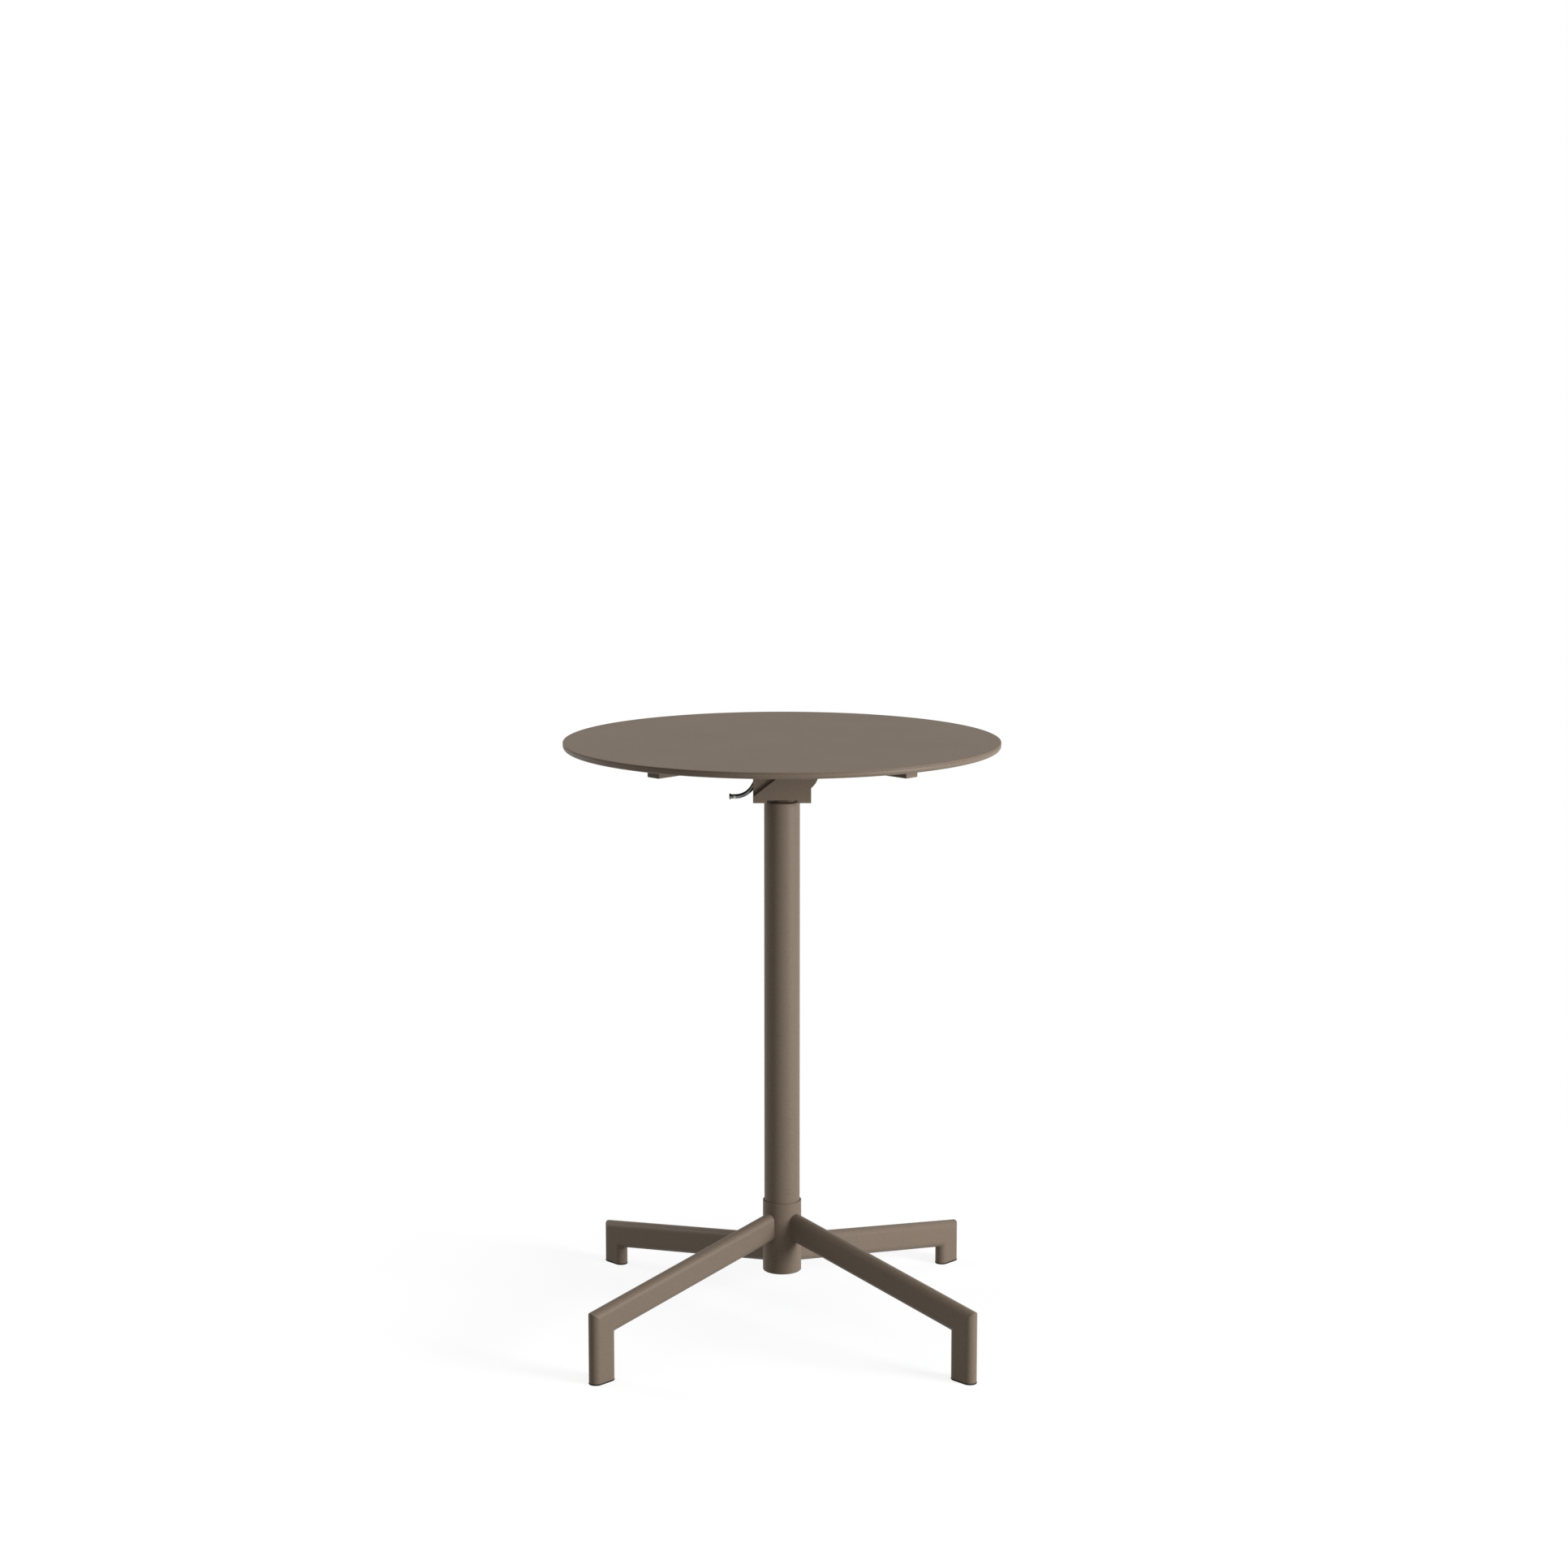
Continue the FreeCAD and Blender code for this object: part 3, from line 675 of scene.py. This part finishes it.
# %% [markdown]
# ## The glides
# A black plastic glide is pressed into the end of each foot. Only its flange shows, a dark line that
# lifts the coat off the floor. It is the same oval again, a little larger, with an eased lower edge and
# a shallow hollow underneath, so that it stands on its rim.

# %% Work out the rings of a glide
glide_overhang = 0.3
glide_ease = 0.5
glide_steps = 4
glide_lip = 0.2
glide_rim = 3.0
glide_hollow = 0.7
glide_slope = 0.6


def glide_rings(reach, top_level):
    """Rings of a glide as (outwards, across, up): hollow, rim, eased edge, side and top."""
    middle = reach - leg_depth / 2
    turn = np.linspace(0, np.pi / 2, glide_steps)
    grow = np.concatenate([
        [-glide_rim - glide_slope, -glide_rim],
        glide_overhang - glide_ease * (1 - np.sin(turn)),
        [glide_overhang, glide_overhang - glide_lip],
    ])
    levels = np.concatenate([
        [glide_hollow, 0.0],
        glide_ease * (1 - np.cos(turn)),
        [top_level - glide_lip, top_level],
    ])
    return np.stack([
        np.column_stack([middle + a, across, np.full(len(a), level)])
        for (a, across), level in zip(map(oval, grow), levels)
    ])


print("a glide stands on a rim", round(glide_rim + glide_overhang - glide_ease, 1), "mm wide")

# %% Make the four legs and their glides
corner_angles = {"back_right": 45, "back_left": 135, "front_left": 225, "front_right": 315}
leg_shapes = {  # reach, height of the upper corner, and fall of the arm in degrees
    "front": (322.0, 87.8, 10.3),
    "back": (331.0, 53.8, 9.7),
}

for corner_name, degrees in corner_angles.items():
    reach, corner_height, fall = leg_shapes[corner_name.split("_")[0]]
    foot_level = corners("leg_foot_" + corner_name)[0][2]
    leg = turn_out(leg_rings(reach, corner_height, fall, foot_level), degrees)
    add_piece("leg_" + corner_name, [skin(leg)], powder_coat, "base", "powder_coat",
              "leg_arm_" + corner_name, "leg_foot_" + corner_name)
    glide = turn_out(glide_rings(reach, foot_level), degrees)
    add_piece("foot_glide_" + corner_name, [skin(glide)], finishes["black_plastic"], "base",
              "black_plastic", "glide_" + corner_name)

# %% [markdown]
# ## The yoke
# Two thick steel cheeks with a flat web between them carry the hinge. Each cheek has a low slanted edge
# on the side that the top swings away from, a round ear about the hinge, and a notch over the column's
# neck. Boxes and booleans would leave hard edges. One outline for both cheeks, with its arc about the
# hinge and its corners softened, becomes two eased plates.

# %% Draw the cheek's outline
ear_radius = 25.2
cheek_left_height = 8.2
cheek_slant = math.radians(38.0)
notch_half = 18.7
corner_soft = 0.7
cheek_bottom = corners("yoke_cheek_front")[0][2]
web_low, web_high = corners("yoke_web")
yoke_half = web_high[0]


def about_hinge(radius, first, last, count=40):
    """Arc about the hinge between two angles."""
    angle = np.linspace(first, last, count)
    return hinge + radius * np.column_stack([np.cos(angle), np.sin(angle)])


def close_arc(arc, others):
    """Outline of an arc and of the points from its end back to its start, with softened corners."""
    around = soften(np.vstack([arc[-1:], others, arc[:1]]), corner_soft, closed=False, steps=4)
    return np.vstack([around, arc[1:-1]])


def cheek_outline():
    """Cheek in the X-Z plane. The slant runs from its left corner to where it meets the ear's circle."""
    left = np.array([-yoke_half, cheek_bottom + cheek_left_height])
    along = np.array([math.cos(cheek_slant), math.sin(cheek_slant)])
    to_hinge = hinge - left
    aside = to_hinge[0] * along[1] - to_hinge[1] * along[0]
    meet = left + along * (to_hinge @ along - math.sqrt(ear_radius ** 2 - aside ** 2)) - hinge
    first = -math.acos((yoke_half - hinge[0]) / ear_radius)
    last = math.atan2(meet[1], meet[0]) % math.tau
    return close_arc(about_hinge(ear_radius, first, last), [
        left,
        (-yoke_half, cheek_bottom),
        (-notch_half, cheek_bottom),
        (-notch_half, web_low[2]),
        (notch_half, web_low[2]),
        (notch_half, cheek_bottom),
        (yoke_half, cheek_bottom),
    ])


print("a cheek's outline has", len(cheek_outline()), "points")

# %% Make the cheeks and the web
yoke_ease = 0.5


def upright_pair(name, node_name, outline, ease, body):
    """Front and back plate of one X-Z outline, each as thick along Y as the solid it stands for."""
    for side in ("front", "back"):
        low, high = corners(node_name + side)
        rings = plate(outline, low[1], high[1], ease)[..., [0, 2, 1]]
        add_piece(name + side, [skin(rings)], powder_coat, body, "powder_coat", node_name + side)


def flat_piece(name, node, corner_radius, ease, body):
    """Flat plate with rounded corners and eased edges, in the box of the solid it stands for."""
    low, high = corners(node)
    rings = plate(box_outline(low[:2], high[:2], corner_radius), low[2], high[2], ease)
    add_piece(name, [skin(rings)], powder_coat, body, "powder_coat", node)


upright_pair("cheek_", "yoke_cheek_", cheek_outline(), yoke_ease, "column")
flat_piece("web_plate", "yoke_web", corner_soft, yoke_ease, "column")

# %% [markdown]
# ## The tilting head
# Under the top sits a square mounting plate with two walls that hang down between the cheeks and turn
# on the hinge. From the front only a dark triangle of the head shows behind the slanted edge, and more
# of it from the side, from below and when the top is tilted. A plain block would hit the web as it
# turns, so the walls follow a circle about the hinge.

# %% Make the walls and the mounting plate
head_corner_offset = 10.0
head_swing = 24.5
head_ease = 0.4
mount_corner = 3.0
wall_low, wall_high = corners("head_wall_front")


def wall_outline():
    """Head wall in the X-Z plane: a low left part, then a circle about the hinge, then straight up."""
    first = -math.acos(-head_corner_offset / head_swing)
    return close_arc(about_hinge(head_swing, first, 0.0, count=24), [
        (wall_high[0], wall_high[2]),
        (wall_low[0], wall_high[2]),
        (wall_low[0], wall_low[2]),
        (hinge[0] - head_corner_offset, wall_low[2]),
    ])


upright_pair("head_side_", "head_wall_", wall_outline(), head_ease, "top")
flat_piece("mounting_plate", "head_plate", mount_corner, head_ease, "top")

# %% [markdown]
# ## The spider arms
# Four square tubes run out under the top like the arms of a spider and stop short of its rim, where a
# cap closes each of them. They are notched to fit round the corners of the mounting plate, and cut off
# beside the yoke. The rounded-square section is carried along the arm twice, outside and inside, which
# leaves a real wall at the open end, and the height is held down wherever the mounting plate is in the
# way.

# %% Work out the rings of an arm
arm_width = 20.0
arm_wall = 1.5
arm_corner = 1.2
arm_inner_corner = 0.7
skin_under_plate = 0.6
notch_step = 0.01
mount_low, mount_high = corners("head_plate")
arm_low, arm_high = corners("spider_arm_front_right")
arm_start = corners("spider_arm_back_right")[0][1]
plate_corner = math.sqrt(2) * mount_high[0]


def arm_section(wall, corner_radius):
    """Rounded square of the tube as (across, up), drawn in by a wall."""
    low = np.array([-arm_width / 2 + wall, arm_low[2] + wall])
    high = np.array([arm_width / 2 - wall, arm_high[2] - wall])
    return box_outline(low, high, corner_radius)


def arm_rings(angle, end):
    """Rings of an arm as (outwards, across, up): out along the outside and back along the inside.

    The cut beside the yoke is where the arm's depth, out sin + across cos, equals the arm's start. The
    notch is where out + |across| is the mounting plate's corner, and inside it the height is at most
    the plate."""
    def way(wall, corner_radius, ceiling):
        across, up = arm_section(wall, corner_radius).T
        begin = (arm_start * np.sign(math.sin(angle)) - across * math.cos(angle)) / math.sin(angle)
        notch = plate_corner - np.abs(across)
        held = np.minimum(up, ceiling)
        stops = [(begin, held), (notch, held), (notch + notch_step, up), (np.full(len(up), end), up)]
        return [np.column_stack([out, across, height]) for out, height in stops]

    outside = way(0.0, arm_corner, mount_low[2])
    inside = way(arm_wall, arm_inner_corner, mount_low[2] - skin_under_plate)
    return np.stack(outside + inside[::-1])


print("arms are cut off", round(arm_start, 1), "mm in front of and behind the column's axis")

# %% Make the arms and their caps
cap_thickness = 1.5
cap_ease = 0.4
cap_end = np.hypot(*corners("arm_end_caps")[1][:2]) - arm_width / 2
tube_end = cap_end - cap_thickness
cap_rings = plate(arm_section(0.0, arm_corner), tube_end, cap_end, cap_ease)[..., [2, 0, 1]]

for corner_name, degrees in corner_angles.items():
    rings = turn_out(arm_rings(math.radians(degrees), tube_end), degrees)
    add_piece("arm_tube_" + corner_name, [skin(rings, loop=True)], powder_coat, "top", "powder_coat",
              "spider_arm_" + corner_name)
arm_caps = [skin(turn_out(cap_rings, degrees)) for degrees in corner_angles.values()]
add_piece("arm_caps", arm_caps, powder_coat, "top", "powder_coat", "arm_end_caps")
print("arms reach out to", round(cap_end, 1), "mm from the column's axis")

# %% [markdown]
# ## Screws and nuts
# Small dark zinc screws hold the arms and the mounting plate to the board. A head is a low dome with a
# hexagon socket: its rings start as circles and change to hexagons where the socket begins. The nuts on
# the gas spring are hexagons cut by a cone at both faces, which leaves the curved chamfer of a real nut.

# %% Work out a domed screw with a hexagon socket
screw_radius = 4.25
screw_height = 2.4
screw_side = 0.7
screw_seat_width = 1.0
dome_power = 1.2
dome_steps = 6
socket_flats = 2.8
socket_depth = 1.5
socket_land = 2.04
socket_shares = np.array([1.0, 0.97, 0.97, 0.3])
socket_lip = 0.1
drill_point = 0.2
screw_sides = 48
screw_angle = np.linspace(0, 2 * np.pi, screw_sides, endpoint=False)


def hexagon(flats):
    """Radius of a hexagon at each angle: half its width over cos of the angle from a flat's middle."""
    return flats / 2 / np.cos(screw_angle % (np.pi / 3) - np.pi / 6)


def screw_rings(x, y, seat):
    """Rings of a screw head under a seat: circles over the dome, then hexagons up into the socket."""
    turn = np.linspace(0, np.pi / 2, dome_steps)
    dome = screw_radius - (screw_radius - socket_land) * (1 - np.cos(turn)) ** dome_power
    circles = np.concatenate([[screw_radius - screw_seat_width, screw_radius], dome])
    radius = np.vstack([circles[:, None] + 0 * screw_angle,
                        hexagon(socket_flats) * socket_shares[:, None]])
    hole = screw_height - socket_depth
    depth = np.concatenate([
        [0.0, 0.0],
        screw_side + (screw_height - screw_side) * np.sin(turn),
        [screw_height, screw_height - socket_lip, hole, hole - drill_point],
    ])[:, None]
    return np.stack([x + radius * np.cos(screw_angle), y + radius * np.sin(screw_angle),
                     seat - depth + 0 * screw_angle], axis=-1)


print("a screw head is", 2 * screw_radius, "mm wide and", screw_height, "mm high")

# %% Drive the screws
arm_screw_radii = (105.0, 155.0)
head_screw_radius = 50.0


def screw_piece(name, node, radii, angles, seat):
    """Screw heads under one seat, at every radius and angle about the column's axis."""
    turns = [math.radians(degrees) for degrees in angles]
    heads = [skin(screw_rings(radius * math.cos(turn), radius * math.sin(turn), seat))
             for turn in turns for radius in radii]
    add_piece(name, heads, dark_zinc, "top", "plain_steel", node)


screw_piece("screws_in_arms", "arm_screws", arm_screw_radii, corner_angles.values(), arm_low[2])
screw_piece("screws_in_plate", "head_screws", [head_screw_radius], range(0, 360, 90), mount_low[2])

# %% Cut the chamfered nuts
nut_bite = 0.16
nut_face_gap = 0.02
cone_slope = 0.55
cone_steps = 6
rod_bore = 5.03


def nut_piece(name, node, body, flats, bore):
    """Nut: a hexagon held inside a cone at both faces, and a bore that closes the loop."""
    low, high = corners(node)
    bite = nut_bite * flats
    depth = np.linspace(0, 1, cone_steps)
    cone = flats / 2 - nut_face_gap * flats + bite * depth[:, None]
    side = np.minimum(hexagon(flats), cone)
    hole = np.full((2, screw_sides), bore)
    rise = cone_slope * bite * depth
    radius = np.vstack([side, side[::-1], hole])
    level = np.concatenate([low[2] + rise, high[2] - rise[::-1], [high[2], low[2]]])[:, None]
    rings = np.stack([radius * np.cos(screw_angle), radius * np.sin(screw_angle),
                      level + 0 * screw_angle], axis=-1)
    add_piece(name, [skin(rings, loop=True)], plain_steel, body, "plain_steel", node)


nut_piece("stud_nut", "gas_spring_nut", "column", flats=22.0, bore=stud_bore)
nut_piece("rod_nut", "gas_rod_nut", "base", flats=17.0, bore=rod_bore)

# %% [markdown]
# ## Hinge pin and clips
# The top turns on a ground pin through both cheeks, and a spring clip snaps into a groove at each of
# its ends. The pin is a lathe piece laid along Y. A clip is a flat ring with an open mouth: one arc out,
# one arc back, and the eased plate does the rest.

# %% Turn the pin
pin_end_flat = 2.0
pin_ease = 0.8
pin_low, pin_high = corners("hinge_pin")
pin_radius = (pin_high[2] - pin_low[2]) / 2
pin_profile = soften([
    (pin_end_flat, pin_low[1]),
    (pin_radius, pin_low[1]),
    (pin_radius, pin_high[1]),
    (pin_end_flat, pin_high[1]),
], pin_ease, closed=False)
pin_x, pin_z, pin_y = np.moveaxis(lathe(pin_profile, sides=48), -1, 0)
pin = np.stack([hinge[0] + pin_x, pin_y, hinge[1] + pin_z], axis=-1)
add_piece("pin_of_hinge", [skin(pin)], plain_steel, "column", "plain_steel", "hinge_pin")

# %% Stamp the clips
clip_inner = 4.05
clip_outer = 7.5
clip_mouth = 3.0
clip_thickness = 1.2
clip_ease = 0.2
clip_low, clip_high = corners("hinge_clips")
outer_gap, inner_gap = math.asin(clip_mouth / clip_outer), math.asin(clip_mouth / clip_inner)
clip_outline = np.vstack([
    about_hinge(clip_outer, outer_gap - math.pi / 2, 1.5 * math.pi - outer_gap),
    about_hinge(clip_inner, 1.5 * math.pi - inner_gap, inner_gap - math.pi / 2),
])
clips = [skin(plate(clip_outline, face, face + clip_thickness, clip_ease)[..., [0, 2, 1]])
         for face in (clip_low[1], clip_high[1] - clip_thickness)]
add_piece("spring_clips", clips, plain_steel, "column", "plain_steel", "hinge_clips")

# %% [markdown]
# ## The lever
# A bright bent rod reaches out from under the head and ends in a small bead to hook a finger on. A curve
# with a bevel would do for the rod, but the bead needs its own profile, with a waist behind it. So the
# rod is a circle carried along a straight, an arc and a straight, and the bead is a profile turned
# about X.

# %% Bend the rod
lever_straight = 4.0
lever_bend_radius = 25.2
lever_bend = math.radians(60.0)
cam_radius = 7.0
bead_low, bead_high = corners("lever_tip")
rod_low, rod_high = corners("lever_rod")
rod_radius = rod_high[1]
rod_level = (bead_low[2] + bead_high[2]) / 2


def rod_rings(sides=32, bend_steps=28):
    """Rings of the rod. Its centre runs along X, round the bend and on to the cam, and a ring leans by
    the bend's angle: x = cx - r sin(lean) sin a, y = r cos a, z = cz + r cos(lean) sin a."""
    bend_x = rod_low[0] + lever_straight
    lean = np.concatenate([[0.0], np.linspace(0, lever_bend, bend_steps), [lever_bend]])
    centre = np.column_stack([bend_x + lever_bend_radius * np.sin(lean),
                              rod_level + lever_bend_radius * (1 - np.cos(lean))])
    centre[0, 0] = rod_low[0]
    forward = np.array([math.cos(lever_bend), math.sin(lever_bend)])
    shank = np.linalg.norm(lever_pivot - centre[-2])
    centre[-1] = centre[-2] + forward * (shank - cam_radius)
    angle = np.linspace(0, 2 * np.pi, sides, endpoint=False)
    up = rod_radius * np.sin(angle)
    x = centre[:, :1] - np.sin(lean)[:, None] * up
    z = centre[:, 1:] + np.cos(lean)[:, None] * up
    return np.stack([x, rod_radius * np.cos(angle) + 0 * x, z], axis=-1)


add_piece("lever_bar", [skin(rod_rings())], chrome, "lever", "chrome", "lever_rod")

# %% Turn the bead
bead_core = 1.0
bead_nose_inset, bead_nose = 0.5, 0.6
bead_band_end = 2.2
waist_radius = 2.45
waist_lead, waist_run = 0.4, 0.6
bead_rounds = [0.5, 0.3, 0.6, 0.5, 0.2]
bead_radius = (bead_high[2] - bead_low[2]) / 2
bead_profile = soften([
    (bead_core, bead_low[0]),
    (bead_radius - bead_nose_inset, bead_low[0]),
    (bead_radius, bead_low[0] + bead_nose),
    (bead_radius, bead_low[0] + bead_band_end),
    (waist_radius, bead_high[0] - waist_lead),
    (waist_radius, bead_high[0] + waist_run),
    (bead_core, bead_high[0] + waist_run),
], bead_rounds, closed=False, steps=9)
bead_y, bead_z, bead_x = np.moveaxis(lathe(bead_profile, sides=64), -1, 0)
bead = np.stack([bead_x, bead_y, rod_level + bead_z], axis=-1)
add_piece("lever_bead", [skin(bead)], chrome, "lever", "chrome", "lever_tip")

# %% [markdown]
# ## Pieces that keep their own solid
# What is left is inside: a plug, bushes, washers, the gas spring, pads, the cam and its pin. Their plain
# shape is their real shape, and a view from below or with the table raised shows only slivers of them.
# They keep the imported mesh, and each one gets the finish of its slot in the record.

# %% Finish the remaining solids
slots = {part["node"]: part["material_slot"] for part in frame["record"]["subparts"]}
kept = {name: node for name, node in frame["nodes"].items() if not node.hide_render}
for name, node in kept.items():
    for holder in node.material_slots:
        holder.material = finishes[slots[name]]
print(len(kept), "solids kept:", ", ".join(sorted(kept)))

# %% [markdown]
# ## Floor and background
# The photograph shows the table on plain white. A floor that is bright enough to look white would throw
# too much light back at the table. So the floor answers in two ways: to the lens, and to anything that
# mirrors it, it is nearly white and still takes a shadow; to every other ray it is a pale grey floor.
# Further out it fades to the white of the background, so that no horizon shows. From underneath it is
# clear, so that the table can be looked at from below as well.

# %% Mix the floor's finish
floor_bounce = 0.42
floor_light = 0.60
floor_shadow_share = 0.30
fade_near = 0.7
fade_far = 1.8


def shown(wire):
    """One for rays from the lens, from a mirror or through glass, and zero for the rest."""
    camera_ray, glossy_ray, clear_ray = [
        wire.add("ShaderNodeLightPath", output=f"Is {kind} Ray")
        for kind in ("Camera", "Glossy", "Transmission")
    ]
    return wire.math("MINIMUM", camera_ray + glossy_ray + clear_ray, 1.0)


floor_finish, paint = start_finish("pale_floor")
away = paint.add("ShaderNodeVectorMath", {"operation": "LENGTH"}, {0: own_place(paint)}, "Value")
matt = paint.add("ShaderNodeBsdfDiffuse", (), {"Color": grey(floor_shadow_share)})
glow = paint.add("ShaderNodeEmission", (), {"Strength": 1 - floor_shadow_share * floor_light})
lit = paint.add("ShaderNodeAddShader", (), {0: matt, 1: glow})
white = paint.add("ShaderNodeEmission", (), {"Strength": 1.0})
seen = away.spread(fade_near, fade_far, "SMOOTHSTEP").mix(lit, white)
plain = paint.add("ShaderNodeBsdfDiffuse", (), {"Color": grey(floor_bounce)})
clear = paint.add("ShaderNodeBsdfTransparent")
below = paint.add("ShaderNodeNewGeometry", output="Backfacing")
one_sided = below.mix(shown(paint).mix(plain, seen), clear)
paint.add("ShaderNodeOutputMaterial", (), {"Surface": one_sided})
print("floor fades to white from", fade_near, "to", fade_far, "m")

# %% Lay the floor and set the background
floor_size = 30.0
ambient_level = 0.213

edge = floor_size / 2
floor_corners = [(-edge, -edge, 0), (edge, -edge, 0), (edge, edge, 0), (-edge, edge, 0)]
floor_mesh = bpy.data.meshes.new("floor")
floor_mesh.from_pydata(floor_corners, [], [(0, 1, 2, 3)])
floor_mesh.materials.append(floor_finish)
floor = new_object("floor", floor_mesh)

world = bpy.data.worlds.new("studio")
world.use_nodes = True
world.node_tree.nodes.clear()
sky = Wire(world.node_tree)
room = sky.add("ShaderNodeBackground", (), {"Color": grey(1), "Strength": ambient_level})
backdrop = sky.add("ShaderNodeBackground", (), {"Color": grey(1), "Strength": 1.0})
sky.add("ShaderNodeOutputWorld", (), {"Surface": shown(sky).mix(room, backdrop)})
bpy.context.scene.world = world
print("floor", floor_size, "m wide, room light", ambient_level)

# %% [markdown]
# ## Studio light
# In the photograph the right side of the column is bright, its left side is dark, and the top throws no
# shadow down the column. So the main light is a large soft box low on the right, a second one hangs
# overhead for the top, and a weak one behind on the left lifts the dark edge. A lamp's watts follow from
# the level that it gives a white card facing it: watts = level x (pi x distance) squared.

# %% Hang the soft boxes
target = Vector((0, 0, 0.45))


def soft_box(name, azimuth, elevation, distance, size, level, colour=(1, 1, 1)):
    """Square lamp at an azimuth to the right of the lens and an elevation, aimed at the table."""
    azimuth, elevation = math.radians(azimuth), math.radians(elevation)
    level_out = math.cos(elevation)
    aim = Vector((math.sin(azimuth) * level_out, -math.cos(azimuth) * level_out, math.sin(elevation)))
    lamp = bpy.data.lights.new(name, "AREA")
    lamp.size = size
    lamp.color = colour
    lamp.energy = level * (math.pi * distance) ** 2
    box = new_object(name, lamp)
    box.location = target + aim * distance
    box.rotation_euler = aim.to_track_quat("Z", "Y").to_euler()
    print(f"{name}: {lamp.energy:.0f} W")


soft_box("soft_box_right", azimuth=62, elevation=9, distance=4.0, size=1.5, level=1.08,
         colour=(0.975, 1.0, 1.035))
soft_box("soft_box_above", azimuth=0, elevation=86, distance=3.0, size=2.2, level=0.30,
         colour=(0.99, 1.0, 0.97))
soft_box("soft_box_behind", azimuth=-115, elevation=15, distance=4.0, size=1.2, level=0.2)
bpy.context.scene.view_settings.view_transform = "Standard"
